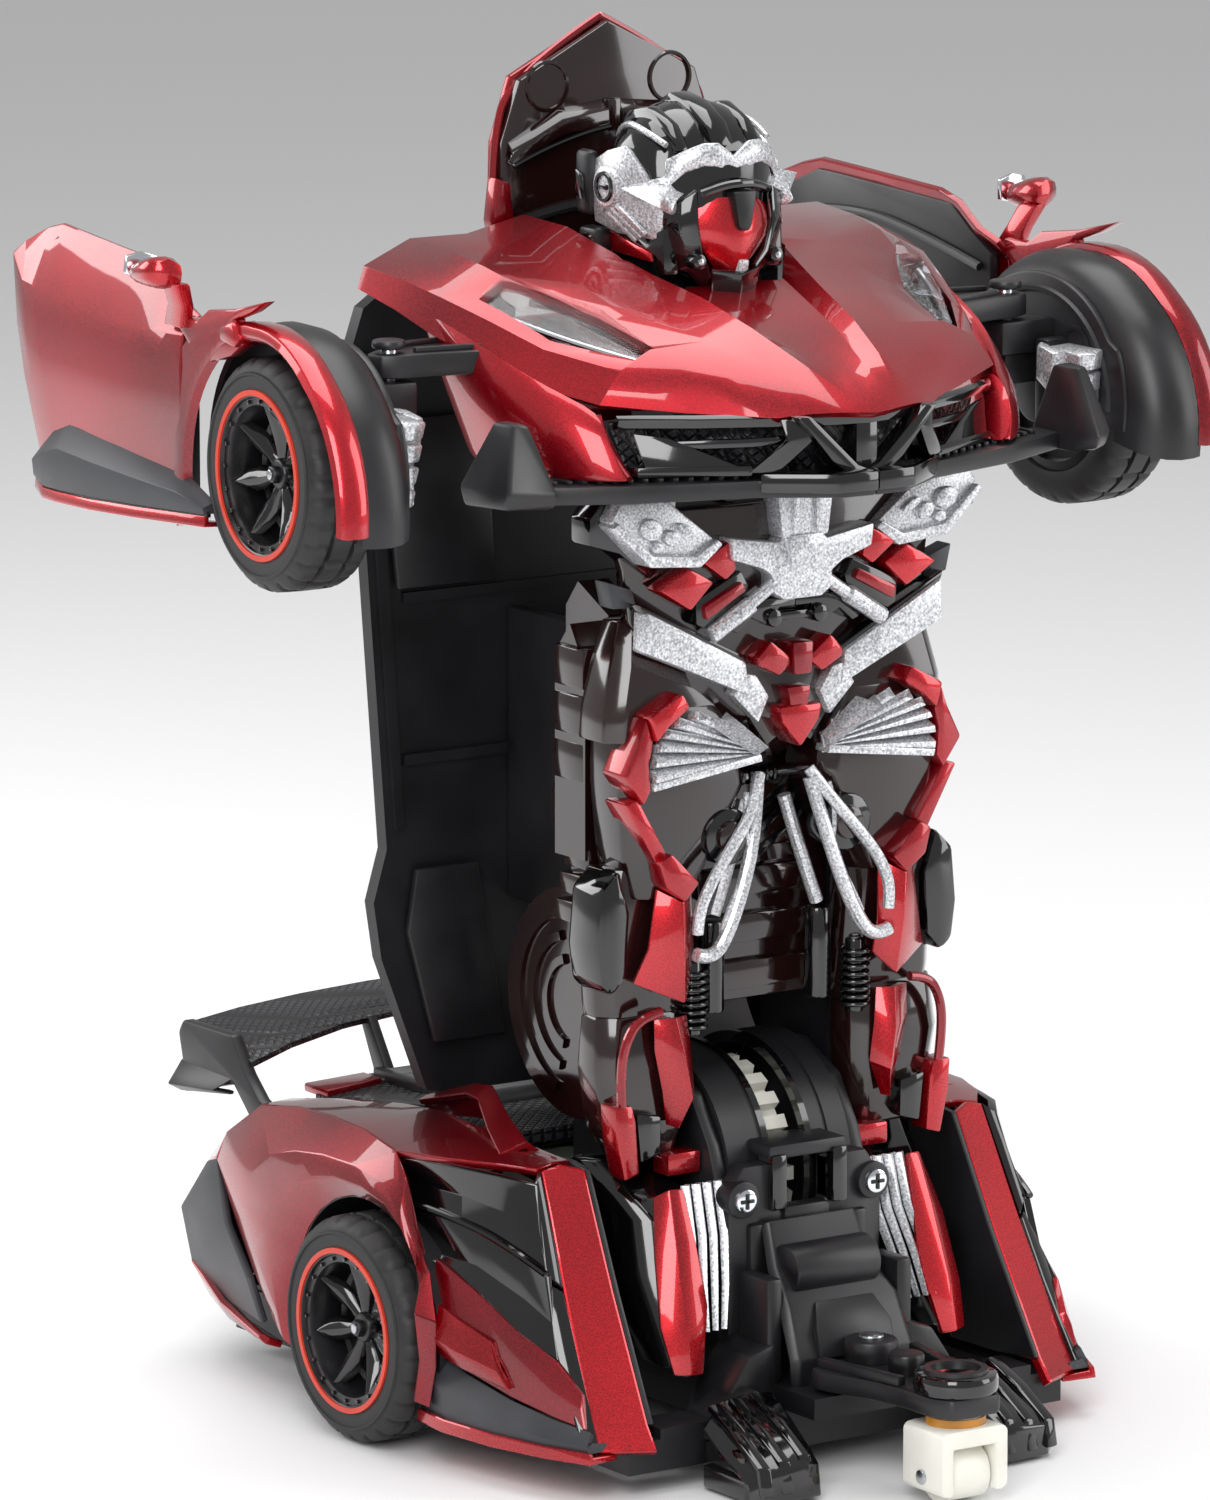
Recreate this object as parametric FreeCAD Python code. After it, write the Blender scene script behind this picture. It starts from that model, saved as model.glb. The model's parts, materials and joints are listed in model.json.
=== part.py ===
import FreeCAD, Part
import os

# Transforming toy car, standing as a robot. Millimetres, +Z up, front is -Y.
# The origin is on the floor, at the middle of the robot's footprint.

# Hinge axes of the transformation
FOLD_Y = -10.0
FOLD_Z = 50.0
CHEST_Y = -21.3
CHEST_Z = 205.0
SCREEN_Y = 30.0
SCREEN_Z = 213.0
STRUT_X = 44.8
STRUT_Y = -9.8
ARM_X = 70.0
ARM_Y = -4.0
ARM_YAW = 4.0
STRUT_LOW = 204.0
STRUT_TOP = 209.0

# Wheels
WHEEL_R = 21.5
TYRE_WIDTH = 15.0
RIM_R = 15.2
REAR_OUTER_X = 71.4
REAR_Y = 11.4
FRONT_OUTER_X = 97.0
FRONT_Y = -3.0
FRONT_Z = 187.8
ARCH_R = 24.3

# Castor
CASTOR_Y = -85.9
CASTOR_ARM_Y = -59.2

# General
SWEEP_R = 47.8
SIDES = {"left": 1.0, "right": -1.0}


def save(name, shape):
    shape.exportStep("parts/" + name + ".step")


def yaw(shape):
    """Turns a piece drawn for +X about the arm pivot, so that the door's rear end leans inwards."""
    turned = shape.copy()
    turned.rotate(FreeCAD.Vector(ARM_X, ARM_Y, 0), FreeCAD.Vector(0, 0, 1), ARM_YAW)
    return turned


def box(low, high):
    size = [b - a for a, b in zip(low, high)]
    return Part.makeBox(size[0], size[1], size[2], FreeCAD.Vector(*low))


def rod(axis, centre, radius, start, end):
    """Cylinder along X, Y or Z; centre gives the other two coordinates."""
    place = {
        "X": (FreeCAD.Vector(start, *centre), FreeCAD.Vector(1, 0, 0)),
        "Y": (FreeCAD.Vector(centre[0], start, centre[1]), FreeCAD.Vector(0, 1, 0)),
        "Z": (FreeCAD.Vector(centre[0], centre[1], start), FreeCAD.Vector(0, 0, 1)),
    }[axis]
    return Part.makeCylinder(radius, end - start, place[0], place[1])


def prism(axis, outline, start, end):
    """Polygon across an axis, extruded from start to end along it."""
    order = {
        "X": lambda u, v: FreeCAD.Vector(start, u, v),
        "Y": lambda u, v: FreeCAD.Vector(u, start, v),
        "Z": lambda u, v: FreeCAD.Vector(u, v, start),
    }[axis]
    along = {"X": (1, 0, 0), "Y": (0, 1, 0), "Z": (0, 0, 1)}[axis]
    points = [order(u, v) for u, v in outline]
    face = Part.Face(Part.makePolygon(points + points[:1]))
    return face.extrude(FreeCAD.Vector(*along) * (end - start))


def loft(stations):
    """Faceted solid through (y, [(x, z), ...]) sections."""
    wires = []
    for y, outline in stations:
        points = [FreeCAD.Vector(x, y, z) for x, z in outline]
        wires.append(Part.makePolygon(points + points[:1]))
    return Part.makeLoft(wires, True, True)


def join(*shapes):
    return shapes[0].fuse(list(shapes[1:])).removeSplitter() if len(shapes) > 1 else shapes[0]


def flip(shape, side):
    """A shape drawn for +X, put on the left (+X) or the right (-X)."""
    if side > 0:
        return shape
    return shape.mirror(FreeCAD.Vector(0, 0, 0), FreeCAD.Vector(1, 0, 0))


def both(shape):
    return [flip(shape, side) for side in SIDES.values()]


# ---------------------------------------------------------------- base

def chassis():
    """Floor of the car's rear half: side rails, cross beam, rear floor and wheel bearings."""
    pieces = [
        box((-42.4, -52, 4), (42.4, -43, 12)),
        box((-50, 27, 8), (50, 84, 13)),
        box((-13.5, -43, 4), (13.5, 27, 10)),
        box((-15.5, -63, 12), (15.5, -43, 16)),
        rod("Z", (0, CASTOR_ARM_Y), 2.0, 15, 23.6),
    ]
    for side in SIDES.values():
        rail = join(
            box((42, -52, 4), (49.5, 84, 10)),
            box((43.5, -14, 4), (49.5, 84, 14)),
            rod("X", (REAR_Y, WHEEL_R), 7.0, 43.5, 49.5),
            box((43.5, REAR_Y - 5, 12), (49.5, REAR_Y + 5, WHEEL_R)),
        )
        rail = rail.cut(rod("X", (REAR_Y, WHEEL_R), 2.6, 40, 55))
        pieces.append(flip(rail, side))
        post = box((42, 40, 12), (49.5, 44, 50))
        pieces.append(flip(post, side))
    body = join(*pieces)
    body = body.cut(rod("X", (FOLD_Y, FOLD_Z), SWEEP_R, -42.5, -14.0))
    body = body.cut(rod("X", (FOLD_Y, FOLD_Z), SWEEP_R, 14.0, 42.5))
    body = body.cut(box((-24, 45, 7), (24, 80, 9.8)))
    body = body.cut(Part.makeCompound(both(front_fin())))
    return body.cut(box((30, 62, 7), (37, 74, 14)))


def rear_fender():
    """Red haunch over a rear wheel, drawn for +X: a faceted shell that is open inside."""
    outer = loft([
        (-20.0, [(43, 51), (51, 50), (57, 34), (58, 12), (43, 12)]),
        (4.0, [(43, 57), (62, 55.7), (64.5, 38), (63, 12), (43, 12)]),
        (36.0, [(43, 57.5), (60, 55), (69, 40), (66, 12), (43, 12)]),
        (70.0, [(43, 53), (56, 52.7), (60, 41), (58, 24), (43, 24)]),
    ])
    inner = loft([
        (-21.0, [(42, 49), (49, 48), (55, 34), (56, 10), (42, 10)]),
        (4.0, [(42, 54.8), (60, 53.6), (62.3, 37.5), (61, 10), (42, 10)]),
        (36.0, [(42, 55.3), (58.6, 53), (66.6, 39.6), (63.8, 10), (42, 10)]),
        (71.0, [(42, 50.6), (54.4, 50.5), (57.8, 40.6), (55.8, 20), (42, 20)]),
    ])
    shell = outer.cut(inner).cut(front_fin())
    shell = shell.cut(rod("X", (REAR_Y, WHEEL_R), ARCH_R, 40, 80))
    return shell.cut(box((40, REAR_Y - ARCH_R, 0), (80, REAR_Y + ARCH_R, WHEEL_R)))


def rear_deck():
    """Black slatted engine deck between the haunches, with the wing's feet."""
    deck = box((-42.5, 37, 50), (42.5, 69, 53))
    slats = [box((-38, 40 + 5 * i, 53), (38, 43 + 5 * i, 54)) for i in range(6)]
    return join(deck, *slats)


def rear_bumper():
    """Black rear bumper with a stepped diffuser."""
    body = loft([
        (70.3, [(-57.5, 24), (-59.5, 41), (-55.5, 52), (55.5, 52), (59.5, 41), (57.5, 24), (50, 14), (-50, 14)]),
        (84.0, [(-57, 20), (-58, 34), (-52, 44), (52, 44), (58, 34), (57, 20), (46, 14), (-46, 14)]),
        (92.0, [(-46, 22), (-48, 29), (-44, 38), (44, 38), (48, 29), (46, 22), (42, 18), (-42, 18)]),
    ])
    hollow = loft([
        (69.0, [(-52, 26), (-54, 40), (-50, 47), (50, 47), (54, 40), (52, 26), (45, 17), (-45, 17)]),
        (86.0, [(-48, 23), (-50, 32), (-46, 39), (46, 39), (50, 32), (48, 23), (40, 18), (-40, 18)]),
    ])
    return body.cut(hollow).cut(box((-50.2, 60, 7), (50.2, 84.3, 14.2))).cut(rear_wing())


def rear_wing():
    """Wing blade on two endplates and two feet."""
    blade = loft([
        (70.0, [(-55, 60.8), (55, 60.8), (55, 62.2), (-55, 62.2)]),
        (80.0, [(-55, 62.6), (55, 62.6), (55, 65.0), (-55, 65.0)]),
        (90.0, [(-55, 60.6), (55, 60.6), (55, 62.0), (-55, 62.0)]),
    ])
    plate = prism("X", [(57, 55.4), (72, 65.2), (80, 66), (92, 62.5), (92, 51), (82, 55), (66, 55.2)], 54.5, 57)
    foot = box((36, 72, 54.5), (40, 78, 63))
    stand = box((36, 70, 50), (40, 78, 54.5))
    return join(blade, *both(plate), *both(foot), *both(stand))


def side_skirt():
    """Grey-black sill beside the front of the haunch, with a red lower strip step."""
    wedge = loft([
        (-45.0, [(52, 10), (58.5, 10), (58, 13), (52, 14)]),
        (-20.0, [(52, 9), (62, 9), (63, 20), (58.4, 30)]),
        (-13.5, [(52, 9), (65.5, 9), (66, 22), (62, 33)]),
    ])
    return wedge.cut(rear_fender())


def front_fin():
    """Bright red slanted blade in front of the leg well, drawn for +X."""
    blade = prism("X", [(-51, 10), (-44, 10), (-19, 51), (-20, 55.5), (-26, 56)], 42.6, 50.6)
    rib = prism("X", [(-44, 12), (-40, 12), (-22.5, 42), (-25, 43)], 50.6, 52.0)
    return join(blade, rib)


def gearbox_housing():
    """Round gear case between the legs, with the slot that shows the gear."""
    body = join(
        rod("X", (FOLD_Y, FOLD_Z), 23.0, -13.0, 13.0),
        box((-13, -38, 10), (13, 12, 44)),
        box((-17.5, -36, 44), (17.5, -31, 60)),
    )
    body = body.cut(rod("X", (FOLD_Y, FOLD_Z), 20.0, -4.0, 4.0))
    body = body.cut(box((-4, -40, 50), (4, -20, 66)))
    body = body.cut(box((-10, -8, 11), (10, 10.5, 30)))
    body = body.cut(rod("X", (FOLD_Y, FOLD_Z), 3.2, -20, 20))
    return body.cut(rod("Y", (0, 24.5), 4.6, -34, 12))


def fold_gear():
    """White sector gear on its shaft; it turns with the torso."""
    gear = rod("X", (FOLD_Y, FOLD_Z), 17.0, -3.5, 3.5)
    for i in range(24):
        tooth = box((-3.5, -1.3, 16.0), (3.5, 1.3, 19.2))
        tooth.rotate(FreeCAD.Vector(0, 0, 0), FreeCAD.Vector(1, 0, 0), 15.0 * i)
        tooth.translate(FreeCAD.Vector(0, FOLD_Y, FOLD_Z))
        gear = gear.fuse(tooth)
    return join(gear, rod("X", (FOLD_Y, FOLD_Z), 3.0, -24.0, 24.0))


def fold_worm():
    """Worm under the gear, on the motor's shaft."""
    return join(rod("Y", (0, 24.5), 1.2, -33.0, 13.0), rod("Y", (0, 24.5), 4.2, -32.0, -9.0))


def fold_motor():
    body = rod("Y", (0, 24.5), 9.5, 13.5, 38.0)
    return join(body.common(box((-9.5, 13, 16.8), (9.5, 39, 32.2))), rod("Y", (0, 24.5), 3.0, 13.0, 13.5))


def drive_motors():
    """Two small motors on the rear floor."""
    motor = rod("X", (55.0, 21.0), 8.0, 14.0, 36.0).common(box((14, 45, 13), (36, 65, 29)))
    shaft = rod("X", (55.0, 21.0), 1.0, 36.0, 40.0)
    return Part.makeCompound(both(join(motor, shaft)))


def rear_axle():
    """Stub axle with its drive gear, drawn for +X."""
    return join(rod("X", (REAR_Y, WHEEL_R), 2.2, 42.9, 66.0), rod("X", (REAR_Y, WHEEL_R), 3.6, 49.7, 51.0))


def rim(x_out, y, z):
    """Wheel rim, drawn for +X: barrel, recessed spoked disc and hub."""
    x_in = x_out - TYRE_WIDTH
    barrel = rod("X", (y, z), RIM_R, x_in + 1, x_out - 0.8)
    barrel = barrel.cut(rod("X", (y, z), 13.4, x_out - 5, x_out))
    barrel = barrel.cut(rod("X", (y, z), 13.0, x_in, x_out - 8))
    barrel = barrel.cut(rod("X", (y, z), 2.4, x_in, x_out - 4))
    hub = rod("X", (y, z), 4.2, x_in + 1, x_out - 3.0).cut(rod("X", (y, z), 2.4, x_in, x_out - 5))
    return join(barrel, hub)


def tyre(x_out, y, z):
    """Soft tyre with rounded shoulders, drawn for +X."""
    x_in = x_out - TYRE_WIDTH
    body = rod("X", (y, z), WHEEL_R, x_in, x_out)
    rims = [e for e in body.Edges if abs(e.BoundBox.XLength) < 0.01]
    body = body.makeFillet(2.6, rims)
    return body.cut(rod("X", (y, z), RIM_R, x_in - 1, x_out + 1))


def battery_pack():
    return Part.makeCompound([rod("Y", (x, 25.6), 6.8, 68.5, 82.0) for x in (-7.5, 7.5)])


def battery_door():
    return box((-23.6, 45.4, 7.4), (23.6, 79.6, 9.7))


def circuit_board():
    board = box((-34, 40.5, 34), (34, 68, 35.6))
    chips = [box((x, 48, 35.6), (x + 9, 57, 37.6)) for x in (-20, 2)]
    feet = [box((x, 40.5, 13), (x + 3, 43.5, 34)) for x in (-34, 31)]
    return join(board, *chips, *feet)


def power_switch():
    return join(box((32, 64, 6.4), (35, 68, 8.4)), box((30.4, 62.4, 8.4), (36.6, 69.6, 10.4)))


def screws():
    """Two cross-head screws on the gear case."""
    heads = []
    for side in SIDES.values():
        head = rod("Y", (side * 14.9, 49.0), 2.2, -37.2, -36.0)
        slots = join(box((side * 14.9 - 1.5, -38, 48.7), (side * 14.9 + 1.5, -36.6, 49.3)),
                     box((side * 14.9 - 0.3, -38, 47.5), (side * 14.9 + 0.3, -36.6, 50.5)))
        heads.append(head.cut(slots))
    return Part.makeCompound(heads)


def toe_block():
    """Black block between the feet that carries the castor arm."""
    body = loft([
        (-52.5, [(-14, 16.2), (14, 16.2), (14, 22), (-14, 22)]),
        (-47.0, [(-14, 16.2), (14, 16.2), (14, 33), (-14, 33)]),
        (-38.4, [(-13, 16.2), (13, 16.2), (13, 43), (-13, 43)]),
    ])
    barrel = rod("X", (-43.5, 36.0), 5.0, -11.0, 11.0)
    plate = prism("Y", [(-7, 20), (7, 20), (9, 30), (-9, 30)], -53.4, -49.5)
    return join(body, barrel, plate)


def foot():
    """Glossy black foot, drawn for +X, with a split toe."""
    upper = loft([
        (-72.0, [(20, -1), (35, -1), (34, 5.5), (22, 6)]),
        (-60.0, [(18, -1), (35, -1), (33, 11), (21, 12)]),
        (-52.4, [(17, -1), (34, -1), (31, 16), (22, 16)]),
    ])
    sole = upper.cut(box((10, -80, -5), (40, -50, 0)))
    split = prism("Z", [(26.4, -73), (28.6, -73), (28, -63), (27, -63)], -1, 20)
    return sole.cut(split)


# ---------------------------------------------------------------- castor

def castor_arm():
    """Tapered arm on a boss, with the castor's bearing at its end."""
    plate = prism("Z", [(-6, -54.6), (6, -54.6), (13, -57.5), (13, -60), (6, -80), (6, -90), (-6, -90), (-6, -80),
                        (-13, -60), (-13, -57.5)], 16.4, 20.4)
    ring = rod("Z", (0, CASTOR_Y), 8.0, 16.4, 22.7)
    boss = rod("Z", (0, CASTOR_ARM_Y), 5.0, 16.4, 24.8).cut(rod("Z", (0, CASTOR_ARM_Y), 2.08, 10, 24.0))
    plate = plate.cut(rod("Z", (0, CASTOR_ARM_Y), 2.08, 10, 24.0))
    body = join(plate, ring, boss)
    body = body.cut(rod("Z", (0, CASTOR_Y), 2.6, 10, 21))
    return body


def castor_block():
    """White swivelling block with a neck."""
    body = box((-7.5, CASTOR_Y - 6.5, 2.0), (7.5, CASTOR_Y + 6.5, 13.5))
    neck = rod("Z", (0, CASTOR_Y), 5.0, 13.5, 16.2)
    stem = rod("Z", (0, CASTOR_Y), 2.4, 13.5, 20.8)
    slot = box((-4.6, CASTOR_Y - 7, 0), (4.6, CASTOR_Y + 7, 11.4))
    return join(body, neck, stem).cut(slot).cut(rod("X", (CASTOR_Y, 5.2), 1.25, -8, 8))


def castor_roller():
    return join(rod("X", (CASTOR_Y, 5.2), 5.2, -4.2, 4.2), rod("X", (CASTOR_Y, 5.2), 1.1, -7.8, 7.8))


# ---------------------------------------------------------------- torso

def torso_frame():
    """Hidden frame: two hinge legs, a spine plate and the neck link to the chest."""
    leg = join(
        rod("X", (FOLD_Y, FOLD_Z), 8.0, 19.0, 24.0),
        box((19, -18, 50), (24, 4, 156)),
    )
    leg = leg.cut(rod("X", (FOLD_Y, FOLD_Z), 3.0, 10, 30))
    link = join(
        box((16, -28.9, 150), (24.1, -15.5, CHEST_Z)),
        rod("X", (CHEST_Y, CHEST_Z), 6.0, 16.0, 25.5),
    ).cut(rod("X", (CHEST_Y, CHEST_Z), 2.15, 10, 40))
    web = box((19, 4, 96), (22, 29, 152))
    cross = box((-24, -14.6, 116), (24, -10, 150))
    return join(cross, *both(leg), *both(link), *both(web))


def back_panel():
    """Car roof and rear window, inside out: the robot's back, with ribs on its front face."""
    outline = [(36, 59.5), (40.5, 60.5), (50.6, 87), (52.3, 98), (49.3, 108), (54, 171), (56.3, 205), (54, 211.5),
               (38, 222), (27, 222), (23, 211), (20, 209), (20, 185)]
    full = outline + [(-x, z) for x, z in reversed(outline)]
    plate = prism("Y", full, SCREEN_Y - 0.6, SCREEN_Y + 2.6)
    rim_rib = prism("Y", [(46, 112), (48, 112), (52.5, 171), (54.4, 203), (52.4, 203)], SCREEN_Y - 1.8, SCREEN_Y - 0.6)
    ribs = [box((-46, SCREEN_Y - 1.8, z), (46, SCREEN_Y - 0.6, z + 2)) for z in (124, 155, 178)]
    clearance = join(*both(box((18, 20, 90), (23, 29.1, 154))))
    ribs = [rib.cut(clearance) for rib in ribs]
    lugs = [box((x, SCREEN_Y - 2, 205), (x + 3, SCREEN_Y - 0.6, 211)) for x in (24, -27)]
    return join(plate, *both(rim_rib), *ribs, *lugs)


def abdomen_shell():
    """Front of the robot's chest and belly, down to the arrow at the crotch."""
    skin = loft([
        (-36.0, [(-12, 150), (-12, 178), (12, 178), (12, 150), (4, 136), (-4, 136)]),
        (-29.2, [(-32, 152), (-38, 178), (38, 178), (32, 152), (8, 130), (-8, 130)]),
        (-19.0, [(-32, 152), (-36, 176), (36, 176), (32, 152), (8, 130), (-8, 130)]),
    ])
    hollow = box((-26, -29.1, 149), (26, -18, 180))
    lower = box((-18.9, -18.1, 90), (18.9, -15, 116))
    neck = prism("X", [(-30, 130), (-26, 130), (-14.9, 116), (-14.9, 100), (-19, 100), (-23, 116)], -8, 8)
    wall = box((-18.6, -18.1, 82), (18.6, -14.8, 131))
    skin = skin.cut(hollow).cut(box((-24.1, -18.1, 40), (24.1, 10, 160)))
    return join(skin, wall.cut(box((-9, -18.2, 129), (9, -10, 140))), neck, lower)


def leg_shell():
    """Thigh, knee and shin front of one leg, drawn for +X."""
    body = loft([
        (-34.0, [(10, 120), (12, 138), (30, 138), (33, 118), (30, 84), (22, 84)]),
        (-30.0, [(9, 118), (9, 142), (36, 146), (40, 128), (37, 56), (17, 56)]),
        (-18.2, [(14, 112), (14, 143), (39, 146), (41, 128), (38, 56), (18, 56)]),
    ])
    body = body.cut(box((18.9, -19.0, 40), (24.2, 0, 160)))
    body = body.cut(rod("X", (FOLD_Y, FOLD_Z), 34.0, 0, 18.2))
    body = body.cut(rod("X", (FOLD_Y, FOLD_Z), 52.0, 0, 14.6))
    return body.cut(abdomen_shell())


def side_plates():
    """Ribbed dark side covers of the legs, with the round covers at the knees."""
    plate = prism("X", [(-18, 60), (-18, 158), (-8, 163), (-4, 158), (-4, 140), (-6, 104), (-12, 84), (-12, 60)], 24.2, 31)
    disc = rod("X", (-4.0, 82.0), 22.0, 24.2, 29.5)
    disc = disc.cut(box((20, -30, 40), (35, -18, 130)))
    knee = prism("X", [(-17, 112), (-17, 148), (-12, 156), (-7, 150), (-7, 112)], 31, 35.5)
    return Part.makeCompound(both(join(plate, disc, knee)))


def lower_shins():
    """Silver ribbed shin ends that reach down to the feet."""
    shin = loft([
        (-45.2, [(25.5, 18), (33.6, 18), (33.6, 21), (26, 21)]),
        (-35.0, [(20, 18), (36, 18), (33, 42), (19, 46)]),
        (-18.0, [(16, 30), (37, 30), (37, 55.8), (18, 55.7)]),
    ])
    reach = rod("X", (FOLD_Y, FOLD_Z), 47.2, 0, 60)
    shin = shin.common(reach).cut(rod("X", (FOLD_Y, FOLD_Z), 8.3, 10, 24.1))
    bridge = box((24.2, -18, 40), (30, -12, 59.8))
    return Part.makeCompound(both(join(shin, bridge)))


# ---------------------------------------------------------------- chest and head

def chest_frame():
    """Carrier under the bonnet, with the cheeks of the chest hinge and the arm bosses."""
    arch = [(-26.8, 205), (-26.8, 208.4), (-18, 211.2), (-9, 213.2), (-9, 209.5), (-15.8, 205)]
    cheek = join(rod("X", (CHEST_Y, CHEST_Z), 5.5, 31.0, 35.0), prism("X", arch, 31, 35))
    cheek = cheek.cut(rod("X", (CHEST_Y, CHEST_Z), 2.15, 25, 40))
    boss = join(
        rod("Z", (STRUT_X, STRUT_Y), 3.5, STRUT_TOP + 0.4, 211.2),
        rod("Z", (STRUT_X, STRUT_Y), 1.9, STRUT_LOW - 1, STRUT_TOP + 0.4),
        rod("Z", (STRUT_X, STRUT_Y), 3.4, STRUT_LOW - 3, STRUT_LOW - 0.5),
    )
    bridge = box((-40, -14.6, 211.4), (40, -9, 213.2))
    side = box((34, -13, 209.6), (46, -7, 211.4))
    return join(bridge, *both(cheek), *both(side), *both(boss))


def chest_pin():
    return rod("X", (CHEST_Y, CHEST_Z), 2.0, -37.0, 37.0)


def bonnet():
    """Faceted red bonnet with the head hole; a shell that is open below."""
    outer = loft([
        (-56.0, [(0, 201.5), (16, 202), (17, 198.5), (0, 198)]),
        (-34.0, [(0, 210.5), (34, 210), (46, 203), (0, 198)]),
        (-4.0, [(0, 219.5), (45, 221), (55, 214), (0, 208)]),
        (9.0, [(0, 223), (46, 223), (56, 214), (0, 210)]),
        (23.4, [(0, 224.4), (46, 224), (56.5, 217), (0, 214)]),
    ])
    inner = loft([
        (-54.0, [(-1, 199.6), (14, 199.9), (13, 190), (-1, 190)]),
        (-34.0, [(-1, 208.2), (33, 207.7), (41.5, 202), (-1, 190)]),
        (-4.0, [(-1, 217.1), (44, 218.4), (52, 212.4), (-1, 190)]),
        (9.0, [(-1, 220.6), (45, 220.6), (53, 212.4), (-1, 190)]),
        (23.8, [(-1, 222), (45, 221.6), (53.5, 215.2), (-1, 190)]),
    ])
    side = prism("X", [(-33, 203), (-38, 187.3), (-6, 187.3), (-6.8, 206), (-6, 213), (-20, 208)], 52.4, 54.6)
    shell = outer.cut(inner)
    head_hole = prism("Z", [(0, -13), (13, -11), (19, -2), (18, 26), (0, 26)], 190, 240)
    half = join(shell.cut(head_hole), side)
    light = loft([
        (-34.0, [(32, 190), (36, 190), (36, 230), (32, 230)]),
        (-19.0, [(33, 190), (44, 190), (44, 230), (33, 230)]),
        (-3.0, [(44, 190), (50, 190), (50, 230), (44, 230)]),
    ])
    return join(half.cut(light), flip(half.cut(light), -1))


def headlights():
    """Clear headlight covers let into the bonnet."""
    slot = loft([
        (-33.7, [(32.3, 190), (35.7, 190), (35.7, 230), (32.3, 230)]),
        (-19.0, [(33.3, 190), (43.7, 190), (43.7, 230), (33.3, 230)]),
        (-3.3, [(44.3, 190), (49.7, 190), (49.7, 230), (44.3, 230)]),
    ])
    skin = loft([
        (-34.0, [(0, 210.5), (34, 210), (46, 203), (0, 205)]),
        (-4.0, [(0, 219.5), (45, 221), (55, 214), (0, 214)]),
    ])
    core = loft([
        (-34.1, [(-1, 208.4), (33, 207.9), (41.5, 202.2), (-1, 190)]),
        (-3.9, [(-1, 217.3), (44, 218.6), (52, 212.6), (-1, 190)]),
    ])
    return Part.makeCompound(both(slot.common(skin).cut(core)))


def front_bumper():
    """Black grille and splitter under the nose."""
    grille = loft([
        (-56.0, [(-14, 190), (-14, 197.6), (14, 197.6), (14, 190)]),
        (-38.2, [(-46, 187), (-46, 197.6), (46, 197.6), (46, 187)]),
    ])
    hollow = loft([
        (-52.0, [(-12, 189), (-12, 195.6), (12, 195.6), (12, 189)]),
        (-37.0, [(-42, 189), (-42, 195.6), (42, 195.6), (42, 189)]),
    ])
    splitter = prism("Z", [(-52, -36), (-20, -48), (-8, -60), (8, -60), (20, -48), (52, -36), (64, -26), (52, -30),
                           (38, -34), (-38, -34), (-52, -30), (-64, -26)], 183.2, 187.2)
    fin = prism("X", [(-36, 183.2), (-26, 181), (-24.6, 193), (-34, 190)], 61.5, 66)
    tie = box((50, -37.5, 183.2), (52.2, -30, 188))
    arm = prism("X", [(-36, 183.2), (-30, 183.2), (-30, 186), (-36, 186)], 52, 62)
    hanger = box((36, -40, 190), (40, -36, 199.5))
    return join(grille.cut(hollow), splitter, *both(fin), *both(arm), *both(tie), *both(hanger))


def helmet():
    """Closed helmet with flat ear plates, hollow behind the mask."""
    shell = loft([
        (-11.0, [(-9, 226), (-11, 240), (-6, 246), (6, 246), (11, 240), (9, 226)]),
        (-2.0, [(-13, 219), (-15, 240), (-8, 249), (8, 249), (15, 240), (13, 219)]),
        (8.0, [(-13, 219), (-15, 238), (-8, 245), (8, 245), (15, 238), (13, 219)]),
        (12.5, [(-9, 222), (-10, 234), (-5, 238), (5, 238), (10, 234), (9, 222)]),
    ])
    ear = rod("X", (2.0, 233.0), 6.0, 13.0, 17.0)
    return join(shell, *both(ear)).cut(box((-8.5, -12, 218), (8.5, -3, 238)))


def face_mask():
    """Red mask and dark visor in front of the helmet."""
    return loft([
        (-14.5, [(-3, 219.4), (-5, 224), (-6, 234), (6, 234), (5, 224), (3, 219.4)]),
        (-9.0, [(-6, 219.2), (-8, 224), (-8.3, 237.8), (8.3, 237.8), (8, 224), (6, 219.2)]),
        (-3.2, [(-6, 219.2), (-8, 224), (-8.3, 237.8), (8.3, 237.8), (8, 224), (6, 219.2)]),
    ])


def neck():
    return join(rod("Z", (0, -1.0), 8.5, 215.2, 218.9), box((-11, -7, 215.2), (11, 6, 216.8)))


def screen():
    """Windscreen behind the head: a pentagon with a ledge, hinged on the torso's top edge."""
    outline = [(19.5, 213.5), (25, 226), (23, 241), (20, 252), (0, 263), (-20, 252), (-23, 241), (-25, 226), (-19.5, 213.5)]
    plate = prism("Y", outline, SCREEN_Y - 0.6, SCREEN_Y + 1.8)
    ledge = box((-22, SCREEN_Y - 3.4, 236), (22, SCREEN_Y - 0.6, 238.6))
    arc = box((-17, SCREEN_Y - 2.4, 246), (17, SCREEN_Y - 0.6, 248))
    tube = rod("X", (SCREEN_Y, SCREEN_Z), 1.5, -19.5, 19.5)
    base = box((-19.5, SCREEN_Y - 0.6, SCREEN_Z), (19.5, SCREEN_Y + 1.4, 214))
    return join(plate, ledge, arc, tube, base)


# ---------------------------------------------------------------- arms

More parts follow.
